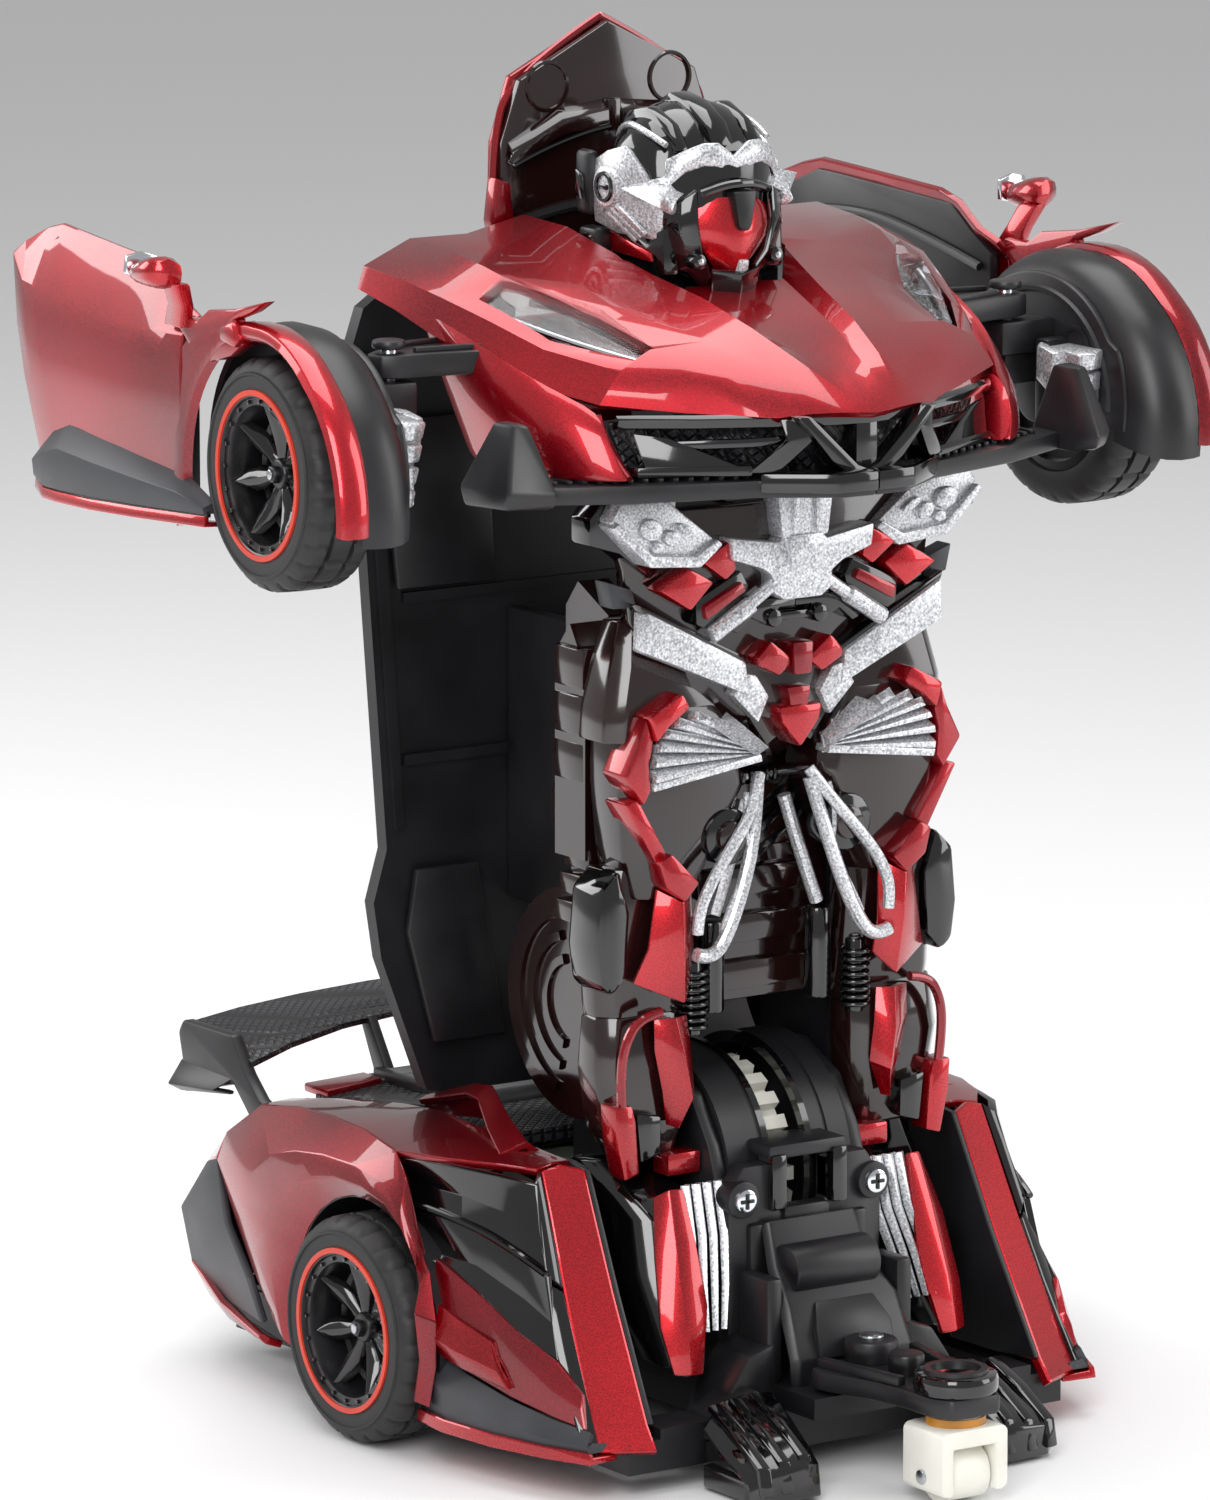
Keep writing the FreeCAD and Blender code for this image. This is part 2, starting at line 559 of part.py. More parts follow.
def strut():
    """Cranked black link from the chest to one arm, drawn for +X."""
    plan = [(41.5, -12), (48.5, -12), (50.5, -3.5), (70, -7.5), (73.5, -4), (70, -0.5), (48, 4), (44, 1)]
    body = join(
        prism("Z", plan, STRUT_LOW, STRUT_TOP),
        rod("Z", (STRUT_X, STRUT_Y), 4.4, STRUT_LOW, STRUT_TOP),
        rod("Z", (ARM_X, ARM_Y), 3.6, STRUT_LOW, STRUT_TOP),
    )
    body = body.cut(rod("Z", (STRUT_X, STRUT_Y), 2.1, 190, 220))
    return body.cut(rod("Z", (ARM_X, ARM_Y), 1.75, 190, 220))


def wheel_liner():
    """Black wheel well of one arm with the pivot bracket, drawn for +X."""
    centre = (FRONT_Y, FRONT_Z)
    ring = rod("X", centre, 27.0, 79.5, 94.4).cut(rod("X", centre, 23.4, 81.0, 96.0))
    ring = ring.cut(box((70, -40, 150), (100, 40, FRONT_Z - 6)))
    ring = ring.cut(box((81.0, 0, 150), (100, 40, FRONT_Z + 4)))
    wheel_boss = rod("X", centre, 5.5, 78.0, 81.2)
    stub = rod("X", centre, 2.2, 81.2, 91.4)
    bracket = join(
        box((66, -8, 197), (80.0, 0, STRUT_LOW - 0.5)),
        rod("Z", (ARM_X, ARM_Y), 1.6, STRUT_LOW - 0.5, STRUT_TOP + 0.2),
        rod("Z", (ARM_X, ARM_Y), 3.2, STRUT_TOP + 0.4, STRUT_TOP + 2.0),
        rod("Z", (ARM_X, ARM_Y), 1.6, STRUT_TOP + 0.2, STRUT_TOP + 0.4),
    )
    return join(ring, wheel_boss, stub, bracket)


def door():
    """Red front fender, door and sill of one side, drawn for +X."""
    outline = [(-33.5, 180), (-31, 195), (-21, 208), (-5, 214.5), (3, 216), (14, 216.4), (20, 213.5), (26, 213.5),
               (33, 217), (39, 222), (80, 224.5), (92.3, 219.5), (88, 198), (84, 174), (26, 174), (24, 178)]
    skin = prism("X", outline, 94.6, 96.8)
    flange = rod("X", (FRONT_Y, FRONT_Z), 29.5, 95.0, 97.0)
    skin = skin.cut(rod("X", (FRONT_Y, FRONT_Z), 23.6, 90, 110))
    return skin.cut(box((90, -30, 150), (110, FRONT_Y + 23.6, FRONT_Z - 8))).fuse(
        flange.cut(rod("X", (FRONT_Y, FRONT_Z), 23.6, 90, 110)).cut(box((90, -40, 150), (110, 40, 192)))
    ).removeSplitter()


def fist():
    """Silver fist on the inside of the wheel well, drawn for +X."""
    palm = box((73.5, -22.0, 182.6), (79.4, -12.0, 199.0))
    fingers = [box((72.4, -24.0 + 0.5 * i, 195.2 - 4.2 * i), (78.6, -13.0, 199.0 - 4.2 * i)) for i in range(4)]
    return join(palm, *fingers)


def mirror():
    """Door mirror on its stalk, drawn for +X."""
    head = loft([
        (20.0, [(98, 219), (106, 219.5), (106, 225.4), (98, 225)]),
        (32.0, [(99, 218.5), (106, 219.0), (105, 223), (99, 222.6)]),
    ])
    stalk = box((96.8, 22, 213), (99.6, 28, 220))
    return join(head, stalk)


def main():
    os.makedirs("parts", exist_ok=True)
    save("chassis", chassis())
    save("rear_deck", rear_deck())
    save("rear_bumper", rear_bumper())
    save("rear_wing", rear_wing())
    save("side_skirts", Part.makeCompound(both(side_skirt())))
    save("front_fins", Part.makeCompound(both(front_fin())))
    save("gearbox_housing", gearbox_housing())
    save("fold_gear", fold_gear())
    save("fold_worm", fold_worm())
    save("fold_motor", fold_motor())
    save("drive_motors", drive_motors())
    save("battery_pack", battery_pack())
    save("battery_door", battery_door())
    save("circuit_board", circuit_board())
    save("power_switch", power_switch())
    save("screws", screws())
    save("toe_block", toe_block())
    save("feet", Part.makeCompound(both(foot())))
    save("castor_arm", castor_arm())
    save("castor_block", castor_block())
    save("castor_roller", castor_roller())
    save("torso_frame", torso_frame())
    save("back_panel", back_panel())
    save("abdomen_shell", abdomen_shell())
    save("side_plates", side_plates())
    save("lower_shins", lower_shins())
    save("chest_frame", chest_frame())
    save("chest_pin", chest_pin())
    save("bonnet", bonnet())
    save("headlights", headlights())
    save("front_bumper", front_bumper())
    save("helmet", helmet())
    save("face_mask", face_mask())
    save("neck", neck())
    save("screen", screen())
    for name, side in SIDES.items():
        save("rear_fender_" + name, flip(rear_fender(), side))
        save("rear_axle_" + name, flip(rear_axle(), side))
        save("rear_rim_" + name, flip(rim(REAR_OUTER_X, REAR_Y, WHEEL_R), side))
        save("rear_tyre_" + name, flip(tyre(REAR_OUTER_X, REAR_Y, WHEEL_R), side))
        save("leg_shell_" + name, flip(leg_shell(), side))
        save("strut_" + name, flip(strut(), side))
        save("wheel_liner_" + name, flip(yaw(wheel_liner()), side))
        save("door_" + name, flip(yaw(door()), side))
        save("fist_" + name, flip(yaw(fist()), side))
        save("mirror_" + name, flip(yaw(mirror()), side))
        save("front_rim_" + name, flip(yaw(rim(FRONT_OUTER_X, FRONT_Y, FRONT_Z)), side))
        save("front_tyre_" + name, flip(yaw(tyre(FRONT_OUTER_X, FRONT_Y, FRONT_Z)), side))


main()
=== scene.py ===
import json
import math

import bpy
from mathutils import Matrix, Vector

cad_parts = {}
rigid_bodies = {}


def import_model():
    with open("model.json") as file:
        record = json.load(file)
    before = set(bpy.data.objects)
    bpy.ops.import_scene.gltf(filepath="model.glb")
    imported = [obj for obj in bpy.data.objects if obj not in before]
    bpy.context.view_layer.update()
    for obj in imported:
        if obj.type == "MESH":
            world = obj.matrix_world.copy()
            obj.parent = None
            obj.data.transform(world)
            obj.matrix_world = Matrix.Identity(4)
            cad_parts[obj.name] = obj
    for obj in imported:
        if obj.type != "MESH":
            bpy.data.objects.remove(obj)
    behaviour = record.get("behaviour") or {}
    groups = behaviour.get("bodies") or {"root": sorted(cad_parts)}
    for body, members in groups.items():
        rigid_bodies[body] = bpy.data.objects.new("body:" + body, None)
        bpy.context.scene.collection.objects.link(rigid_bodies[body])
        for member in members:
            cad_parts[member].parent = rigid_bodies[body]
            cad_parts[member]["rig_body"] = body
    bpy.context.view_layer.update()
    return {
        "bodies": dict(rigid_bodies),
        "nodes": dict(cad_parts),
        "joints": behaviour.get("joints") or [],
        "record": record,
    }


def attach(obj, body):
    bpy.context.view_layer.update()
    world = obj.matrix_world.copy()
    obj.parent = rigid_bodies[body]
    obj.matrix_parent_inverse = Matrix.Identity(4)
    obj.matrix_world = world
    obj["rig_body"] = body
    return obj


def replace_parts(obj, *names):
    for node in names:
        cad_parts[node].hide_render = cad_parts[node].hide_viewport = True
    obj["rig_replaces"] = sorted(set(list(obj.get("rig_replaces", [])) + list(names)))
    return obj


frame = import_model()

mm = 0.001
sides = {"left": 1, "right": -1}  # the robot's own left is +X


def colour(code):
    # sRGB hex to the linear values that a shader takes
    parts = [int(code[i:i + 2], 16) / 255 for i in (1, 3, 5)]
    return [p / 12.92 if p <= 0.04045 else ((p + 0.055) / 1.055) ** 2.4 for p in parts] + [1.0]


def addNode(tree, kind, settings=None, links=None):
    # settings: socket name or index, or attribute; links: socket to (node, output)
    node = tree.nodes.new(kind)
    for key, value in (settings or {}).items():
        if isinstance(key, int) or key in node.inputs:
            node.inputs[key].default_value = value
        else:
            setattr(node, key, value)
    for key, (source, output) in (links or {}).items():
        tree.links.new(source.outputs[output], node.inputs[key])
    return node


def newMaterial(name, shader):
    material = bpy.data.materials.new(name)
    material.use_nodes = True
    tree = material.node_tree
    tree.nodes.clear()
    out = tree.nodes.new("ShaderNodeOutputMaterial")
    principled = addNode(tree, "ShaderNodeBsdfPrincipled", shader)
    tree.links.new(principled.outputs[0], out.inputs[0])
    coords = tree.nodes.new("ShaderNodeTexCoord")
    return material, tree, principled, coords


def mixColours(tree, factor, first, second):
    mix = addNode(tree, "ShaderNodeMix", {"data_type": "RGBA"})
    tree.links.new(factor[0].outputs[factor[1]], mix.inputs["Factor"])
    mix.inputs[6].default_value = first
    mix.inputs[7].default_value = second
    return mix


def noiseOf(tree, coords, sizeMm, detail=3.0):
    # a noise whose blobs are about sizeMm across
    return addNode(tree, "ShaderNodeTexNoise", {"Scale": 1 / (sizeMm * mm), "Detail": detail},
                   {"Vector": (coords, "Object")})


def remap(tree, source, low, high, fromLow=0.3, fromHigh=0.7):
    return addNode(tree, "ShaderNodeMapRange", {"From Min": fromLow, "From Max": fromHigh, "To Min": low,
                                                "To Max": high},
                   {"Value": (source, 0)})


def bumpFrom(tree, principled, height, strength, depthMm):
    bump = addNode(tree, "ShaderNodeBump", {"Strength": strength, "Distance": depthMm * mm},
                   {"Height": (height, 0)})
    tree.links.new(bump.outputs[0], principled.inputs["Normal"])
    return bump


def candyLacquer(name, deep, bright, rough):
    # candy-red lacquer over silver flake, sprayed on moulded plastic: deep colour, fine sparkle, wet coat
    material, tree, principled, coords = newMaterial(name, {
        "Metallic": 0.72, "Coat Weight": 1.0, "Coat Roughness": 0.035, "Coat IOR": 1.5})
    flake = addNode(tree, "ShaderNodeTexVoronoi", {"Scale": 1 / (0.35 * mm)},
                    {"Vector": (coords, "Object")})
    drift = noiseOf(tree, coords, 60.0, 2.0)
    shade = addNode(tree, "ShaderNodeMath", {"operation": "MULTIPLY_ADD", 1: 0.25},
                    {0: (flake, "Distance")})
    tree.links.new(drift.outputs[0], shade.inputs[2])
    tone = mixColours(tree, (remap(tree, shade, 0.0, 1.0, 0.4, 0.85), 0), colour(deep), colour(bright))
    tree.links.new(tone.outputs[2], principled.inputs["Base Color"])
    tree.links.new(remap(tree, flake, rough, rough + 0.12, 0.0, 0.6).outputs[0],
                   principled.inputs["Roughness"])
    orangePeel = noiseOf(tree, coords, 2.2, 1.0)
    bumpFrom(tree, principled, orangePeel, 0.05, 0.05)
    return material


def mouldedPlastic(name, base, wear, rough, grainMm, grainDepth):
    # moulded ABS: even colour, a fine spark-eroded grain, slightly rubbed patches
    material, tree, principled, coords = newMaterial(name, {"IOR": 1.53})
    rubbed = noiseOf(tree, coords, 14.0, 4.0)
    tone = mixColours(tree, (remap(tree, rubbed, 0.0, 1.0), 0), colour(base), colour(wear))
    tree.links.new(tone.outputs[2], principled.inputs["Base Color"])
    tree.links.new(remap(tree, rubbed, rough - 0.05, rough + 0.07).outputs[0],
                   principled.inputs["Roughness"])
    grain = noiseOf(tree, coords, grainMm, 2.0)
    bumpFrom(tree, principled, grain, 0.35, grainDepth)
    return material


def glossPlastic(name, base, second, rough):
    # high-gloss moulded ABS: mirror-like, with slow waviness from the mould
    material, tree, principled, coords = newMaterial(name,
                                                     {"IOR": 1.54, "Coat Weight": 0.6,
                                                      "Coat Roughness": 0.03})
    drift = noiseOf(tree, coords, 25.0, 2.0)
    tone = mixColours(tree, (remap(tree, drift, 0.0, 1.0), 0), colour(base), colour(second))
    tree.links.new(tone.outputs[2], principled.inputs["Base Color"])
    tree.links.new(remap(tree, drift, rough, rough + 0.06).outputs[0], principled.inputs["Roughness"])
    bumpFrom(tree, principled, noiseOf(tree, coords, 5.0, 1.0), 0.08, 0.06)
    return material


def silverPaint(name, base, rough):
    # silver paint with fine aluminium flake
    material, tree, principled, coords = newMaterial(name, {"Metallic": 0.62})
    flake = noiseOf(tree, coords, 0.45, 2.0)
    tone = mixColours(tree, (remap(tree, flake, 0.0, 1.0), 0), colour(base), colour("#f4f4f6"))
    tree.links.new(tone.outputs[2], principled.inputs["Base Color"])
    tree.links.new(remap(tree, flake, rough - 0.06, rough + 0.1).outputs[0], principled.inputs["Roughness"])
    bumpFrom(tree, principled, flake, 0.12, 0.03)
    return material


def tyreRubber(name):
    # soft toy tyre: dull, with dusty patches
    material, tree, principled, coords = newMaterial(name, {"IOR": 1.5})
    dust = noiseOf(tree, coords, 6.0, 5.0)
    tone = mixColours(tree, (remap(tree, dust, 0.0, 1.0), 0), colour("#161617"), colour("#2a2a2c"))
    tree.links.new(tone.outputs[2], principled.inputs["Base Color"])
    tree.links.new(remap(tree, dust, 0.5, 0.68).outputs[0], principled.inputs["Roughness"])
    bumpFrom(tree, principled, noiseOf(tree, coords, 0.5, 2.0), 0.3, 0.04)
    return material


def patterned(name, base, raised, pitchMm, turn, rough, depth):
    # black moulding with small raised diamonds, as on the grille, the deck and the wing
    material, tree, principled, coords = newMaterial(name, {"IOR": 1.53})
    turned = addNode(tree, "ShaderNodeMapping", {"Rotation": turn}, {"Vector": (coords, "Object")})
    checks = addNode(tree, "ShaderNodeTexVoronoi", {"Scale": 1 / (pitchMm * mm), "Randomness": 0.0,
                                                    "distance": "CHEBYCHEV"}, {"Vector": (turned, 0)})
    edge = remap(tree, checks, 1.0, 0.0, 0.28, 0.44)
    tone = mixColours(tree, (edge, 0), colour(base), colour(raised))
    tree.links.new(tone.outputs[2], principled.inputs["Base Color"])
    tree.links.new(remap(tree, checks, rough, rough + 0.2, 0.2, 0.5).outputs[0],
                   principled.inputs["Roughness"])
    bumpFrom(tree, principled, edge, 0.9, depth)
    return material


def plainMetal(name, base, rough, metallic=1.0):
    # plated or turned metal with faint rubbing
    material, tree, principled, coords = newMaterial(name, {"Metallic": metallic})
    rub = noiseOf(tree, coords, 3.0, 4.0)
    worn = [min(1.0, c * 1.15) for c in colour(base)[:3]] + [1.0]
    tone = mixColours(tree, (rub, 0), colour(base), worn)
    tree.links.new(tone.outputs[2], principled.inputs["Base Color"])
    tree.links.new(remap(tree, rub, rough, rough + 0.08).outputs[0], principled.inputs["Roughness"])
    return material


def clearCover(name):
    # clear polycarbonate lens
    material, tree, principled, coords = newMaterial(name, {
        "Base Color": colour("#eef2f6"), "Transmission Weight": 1.0, "IOR": 1.45, "Alpha": 0.35})
    haze = noiseOf(tree, coords, 8.0, 2.0)
    tree.links.new(remap(tree, haze, 0.01, 0.05).outputs[0], principled.inputs["Roughness"])
    return material


finish = {
    "candyRed": candyLacquer("candy_red_lacquer", "#62000e", "#b8081c", 0.24),
    "brightRed": candyLacquer("bright_red_lacquer", "#8c0010", "#d2101f", 0.2),
    "satinBlack": mouldedPlastic("satin_black_abs", "#121214", "#1e1e21", 0.38, 0.35, 0.03),
    "greyBlack": mouldedPlastic("grained_grey_abs", "#2a2b2f", "#3a3b40", 0.42, 0.5, 0.05),
    # a darker copy of the black plastic: painted shade for hidden and recessed parts
    "deepBlack": mouldedPlastic("inner_black_abs", "#0b0b0e", "#141418", 0.46, 0.4, 0.03),
    "pianoBlack": glossPlastic("piano_black_abs", "#050506", "#0c0c0e", 0.06),
    "plumGloss": glossPlastic("dark_plum_gloss_abs", "#120608", "#24100f", 0.09),
    "silver": silverPaint("silver_flake_paint", "#8c8f95", 0.34),
    "tyre": tyreRubber("tyre_rubber"),
    "mesh": patterned("diamond_mesh_abs", "#08080a", "#2c2d31", 1.9, (0.0, 0.0, 0.785), 0.25, 0.35),
    "grilleMesh": patterned("grille_mesh_abs", "#050506", "#34353a", 1.7, (0.0, 0.785, 0.0), 0.16, 0.4),
    "scale": patterned("scale_textured_abs", "#0e0e11", "#2b2c31", 1.5, (0.0, 0.0, 0.785), 0.3, 0.25),
    "chrome": plainMetal("vacuum_chrome", "#dfe3e8", 0.06),
    "steel": plainMetal("zinc_plated_steel", "#b9bcc0", 0.22),
    "brass": plainMetal("turned_brass", "#c9a35a", 0.25),
    "white": mouldedPlastic("natural_acetal", "#efeee6", "#e2e0d4", 0.36, 0.6, 0.02),
    "amber": mouldedPlastic("amber_acetal", "#c98a2c", "#b87820", 0.3, 0.6, 0.02),
    "rim": mouldedPlastic("rim_black_abs", "#0c0c0e", "#18181b", 0.3, 0.4, 0.02),
    "ringRed": mouldedPlastic("printed_red_ring", "#c22a12", "#d63a1c", 0.35, 0.5, 0.01),
    "board": mouldedPlastic("solder_mask", "#0f5a2c", "#0a4522", 0.3, 1.0, 0.02),
    "cell": mouldedPlastic("cell_sleeve", "#23513a", "#1b4130", 0.3, 1.0, 0.01),
    "clear": clearCover("clear_polycarbonate"),
}
nodeFinish = {
    "red": "candyRed", "black": "satinBlack", "gloss": "plumGloss", "silver": "silver", "white": "white",
    "brass": "brass", "steel": "steel", "cells": "cell", "board": "board", "clear": "clear",
    "rim": "satinBlack",
    "tyre": "tyre",
}
slotOf = {part["node"]: part["material_slot"] for part in frame["record"]["subparts"]}
for nodeName, node in frame["nodes"].items():
    node.data.materials.clear()
    node.data.materials.append(finish[nodeFinish[slotOf[nodeName]]])
# the chassis, torso frame and back panel take the darker black of painted shade
for nodeName, name in {"chassis": "deepBlack", "torso_frame": "deepBlack", "back_panel": "deepBlack",
                       "side_skirts": "greyBlack", "front_fins": "brightRed", "toe_block": "satinBlack",
                       "feet": "pianoBlack", "rear_deck": "mesh", "rear_bumper": "greyBlack"}.items():
    frame["nodes"][nodeName].data.materials[0] = finish[name]
print("materials done")


# modelling helpers; all lengths are in millimetres

def fresh():
    if bpy.context.object and bpy.context.object.mode != "OBJECT":
        bpy.ops.object.mode_set(mode="OBJECT")
    bpy.ops.object.select_all(action="DESELECT")


def inEdit(*steps):
    # runs edit-mode steps on the active object with all of it selected
    bpy.ops.object.mode_set(mode="EDIT")
    bpy.ops.mesh.select_all(action="SELECT")
    for step in steps:
        step()
    bpy.ops.object.mode_set(mode="OBJECT")


def applyModifier(piece, kind, **settings):
    modifier = piece.modifiers.new(kind.title(), kind)
    for key, value in settings.items():
        setattr(modifier, key, value)
    bpy.context.view_layer.objects.active = piece
    bpy.ops.object.modifier_apply(modifier=modifier.name)


def outward():
    bpy.ops.mesh.normals_make_consistent(inside=False)


def settle(piece, name, look, body, bevel=0.0, smooth=35):
    # bevels the edges, applies the place, and hangs the piece on its body
    piece.name = name
    piece.data.name = name
    fresh()
    piece.select_set(True)
    bpy.context.view_layer.objects.active = piece
    bpy.ops.object.transform_apply(location=True, rotation=True, scale=True)
    if bevel:
        applyModifier(piece, "BEVEL", width=bevel * mm, segments=2, limit_method="ANGLE",
                      angle_limit=math.radians(28), harden_normals=False)
    bpy.ops.object.shade_smooth_by_angle(angle=math.radians(smooth))
    piece.data.materials.clear()
    piece.data.materials.append(finish[look])
    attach(piece, body)
    piece.select_set(False)
    return piece


def plate(name, axis, outline, start, end, look, body, bevel=0.3, smooth=35):
    # a polygon across an axis, drawn out from start to end
    fresh()
    bpy.ops.mesh.primitive_circle_add(vertices=len(outline), radius=mm, fill_type="NGON")
    piece = bpy.context.object
    place = {"X": lambda u, v: (start, u, v), "Y": lambda u, v: (u, start, v),
             "Z": lambda u, v: (u, v, start)}[axis]
    for vertex, (u, v) in zip(piece.data.vertices, outline):
        vertex.co = Vector(place(u, v)) * mm
    along = {"X": (1, 0, 0), "Y": (0, 1, 0), "Z": (0, 0, 1)}[axis]
    move = Vector(along) * (end - start) * mm
    inEdit(lambda: bpy.ops.mesh.extrude_region_move(TRANSFORM_OT_translate={"value": move}),
           lambda: bpy.ops.mesh.select_all(action="SELECT"), outward)
    return settle(piece, name, look, body, bevel, smooth)


def skin(name, rows, look, body, wall=0.0, wrap=False, caps=False, bevel=0.0, smooth=30, soften=0,
         offset=-1.0):
    # a grid drawn through rows of points; wrap closes each row, caps close the ends, wall gives it thickness
    fresh()
    across = len(rows[0]) + (1 if wrap else 0)
    bpy.ops.mesh.primitive_grid_add(x_subdivisions=across - 1, y_subdivisions=len(rows) - 1, size=2)
    piece = bpy.context.object
    for vertex in piece.data.vertices:
        column = round((vertex.co.x + 1) / 2 * (across - 1))
        row = round((vertex.co.y + 1) / 2 * (len(rows) - 1))
        vertex.co = Vector(rows[row][column % len(rows[0])]) * mm
    steps = [lambda: bpy.ops.mesh.remove_doubles(threshold=0.01 * mm)]
    if caps:
        steps += [lambda: bpy.ops.mesh.select_all(action="DESELECT"), bpy.ops.mesh.select_non_manifold,
                  lambda: bpy.ops.mesh.fill_holes(sides=0),
                  lambda: bpy.ops.mesh.select_all(action="SELECT")]
    inEdit(*steps, outward)
    if soften:
        applyModifier(piece, "SUBSURF", levels=soften, render_levels=soften)
    if wall:
        applyModifier(piece, "SOLIDIFY", thickness=wall * mm, offset=offset, use_even_offset=True)
    return settle(piece, name, look, body, bevel, smooth)


def block(name, low, high, look, body, bevel=0.4):
    # a cube between two corners
    fresh()
    size = Vector(high) - Vector(low)
    bpy.ops.mesh.primitive_cube_add(size=1, location=(Vector(low) + size / 2) * mm)
    piece = bpy.context.object
    piece.scale = size * mm
    return settle(piece, name, look, body, bevel)


def barrel(name, axis, centre, radius, start, end, look, body, bevel=0.3, sides=32, endRadius=None):
    # a turned piece along an axis; centre gives the other two coordinates
    fresh()
    middle = (start + end) / 2
    place = {"X": (middle, *centre), "Y": (centre[0], middle, centre[1]), "Z": (*centre, middle)}[axis]
    turn = {"X": (0, math.pi / 2, 0), "Y": (-math.pi / 2, 0, 0), "Z": (0, 0, 0)}[axis]
    bpy.ops.mesh.primitive_cone_add(vertices=sides, radius1=radius * mm, radius2=(endRadius or radius) * mm,
                                    depth=(end - start) * mm, location=Vector(place) * mm, rotation=turn)
    return settle(bpy.context.object, name, look, body, bevel)


def ringPiece(name, axis, centre, profile, look, body, steps=64, bevel=0.0, smooth=30, arc=360, begin=0):
    # a profile of (distance along the axis, radius) points spun round the axis
    fresh()
    bpy.ops.mesh.primitive_grid_add(x_subdivisions=len(profile) - 1, y_subdivisions=steps, size=2)
    piece = bpy.context.object
    for vertex in piece.data.vertices:
        along, radius = profile[round((vertex.co.x + 1) / 2 * (len(profile) - 1))]
        angle = math.radians(begin + arc * (vertex.co.y + 1) / 2)
        u, v = centre[0] + radius * math.cos(angle), centre[1] + radius * math.sin(angle)
        vertex.co = Vector({"X": (along, u, v), "Y": (u, along, v), "Z": (u, v, along)}[axis]) * mm
    inEdit(lambda: bpy.ops.mesh.remove_doubles(threshold=0.01 * mm), outward)
    return settle(piece, name, look, body, bevel, smooth)


def tubePiece(name, points, radius, look, body, sides=10, closed=False):
    # a round bar along smooth points
    fresh()
    curve = bpy.data.curves.new(name, "CURVE")
    curve.dimensions = "3D"
    curve.bevel_depth = radius * mm
    curve.bevel_resolution = max(1, sides // 4)
    curve.use_fill_caps = True
    spline = curve.splines.new("NURBS")
    spline.points.add(len(points) - 1)
    for point, place in zip(spline.points, points):
        point.co = (*(Vector(place) * mm), 1)
    spline.order_u = 3
    spline.use_endpoint_u = not closed
    spline.use_cyclic_u = closed
    piece = bpy.data.objects.new(name, curve)
    bpy.context.scene.collection.objects.link(piece)
    piece.select_set(True)
    bpy.context.view_layer.objects.active = piece
    bpy.ops.object.convert(target="MESH")
    return settle(bpy.context.object, name, look, body)


def copyPiece(piece, name, change, body=None):
    # a copy with its own mesh, moved by a matrix in the row frame
    twin = piece.copy()
    twin.data = piece.data.copy()
    twin.data.name = name
    twin.name = name
    bpy.context.scene.collection.objects.link(twin)
    twin.data.transform(change)
    if change.determinant() < 0:
        twin.data.flip_normals()
    twin.parent = None
    twin.matrix_world = Matrix.Identity(4)
    if "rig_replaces" in twin:
        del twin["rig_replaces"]
    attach(twin, body or piece["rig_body"])
    return twin


flipX = Matrix.Scale(-1, 4, (1, 0, 0))


def swap(name):
    return name.replace("left", "right") if "left" in name else name + "_right"


def mirrorAll(made):
    # the right-hand twins of left-hand pieces
    for piece in made:
        twin = copyPiece(piece, swap(piece.name), flipX,
                         swap(piece["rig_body"]) if "left" in piece["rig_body"] else None)
        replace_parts(twin, *[swap(node) for node in piece.get("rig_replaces", []) if "left" in node])


def named(made, name):
    return next(piece for piece in made if piece.name.split(".")[0] == name)


def joinPieces(made, name):
    fresh()
    body = made[0]["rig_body"]
    for piece in made:
        piece.select_set(True)
    bpy.context.view_layer.objects.active = made[0]
    bpy.ops.object.join()
    made[0].name = name
    made[0].data.name = name
    made[0]["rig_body"] = body
    return made[0]


# stage: floor, light and camera

fresh()
bpy.ops.mesh.primitive_plane_add(size=8, location=(0, 0, -0.0004))
floor = bpy.context.object
floor.name = "floor"
floor.data.materials.append(newMaterial("pale_floor",
                                        {"Base Color": colour("#f7f7f8"), "Roughness": 0.6})[0])

world = bpy.data.worlds.new("studio")
bpy.context.scene.world = world
world.use_nodes = True
world.node_tree.nodes["Background"].inputs[0].default_value = colour("#ffffff")
world.node_tree.nodes["Background"].inputs[1].default_value = 0.42


studio = {  # place, aim, width, height and watts of each soft light
    "keyLight": ((-0.75, -0.8, 0.75), (0, 0, 0.14), 0.5, 0.9, 9.5),
    "fillLight": ((0.9, -0.7, 0.5), (0, 0, 0.14), 0.5, 0.9, 5),
    "topLight": ((0.05, 0.1, 1.0), (0, 0, 0.1), 0.7, 0.7, 6),
    "backLight": ((-0.6, 0.9, 0.6), (0, 0, 0.15), 0.6, 0.6, 5),
}
for name, (place, target, width, height, watts) in studio.items():
    light = bpy.data.lights.new(name, "AREA")
    light.shape = "RECTANGLE"
    light.size = width
    light.size_y = height
    light.energy = watts
    lamp = bpy.data.objects.new(name, light)
    bpy.context.scene.collection.objects.link(lamp)
    lamp.location = place
    lamp.rotation_euler = (Vector(target) - Vector(place)).to_track_quat("-Z", "Y").to_euler()


view = {"lens": 234.0, "place": (-1.0275, -1.4864, 0.4703), "toward": (0.5514, 0.8131, -0.1869)}
camera = bpy.data.cameras.new("camera")
camera.lens = view["lens"]
camera.clip_end = 20
cameraObject = bpy.data.objects.new("camera", camera)
bpy.context.scene.collection.objects.link(cameraObject)
cameraObject.location = view["place"]
cameraObject.rotation_euler = Vector(view["toward"]).to_track_quat("-Z", "Y").to_euler()
bpy.context.scene.camera = cameraObject
bpy.context.scene.view_settings.view_transform = "Standard"
bpy.context.scene.view_settings.look = "None"
print("stage done")


# torso: the robot's chest front, belly and legs

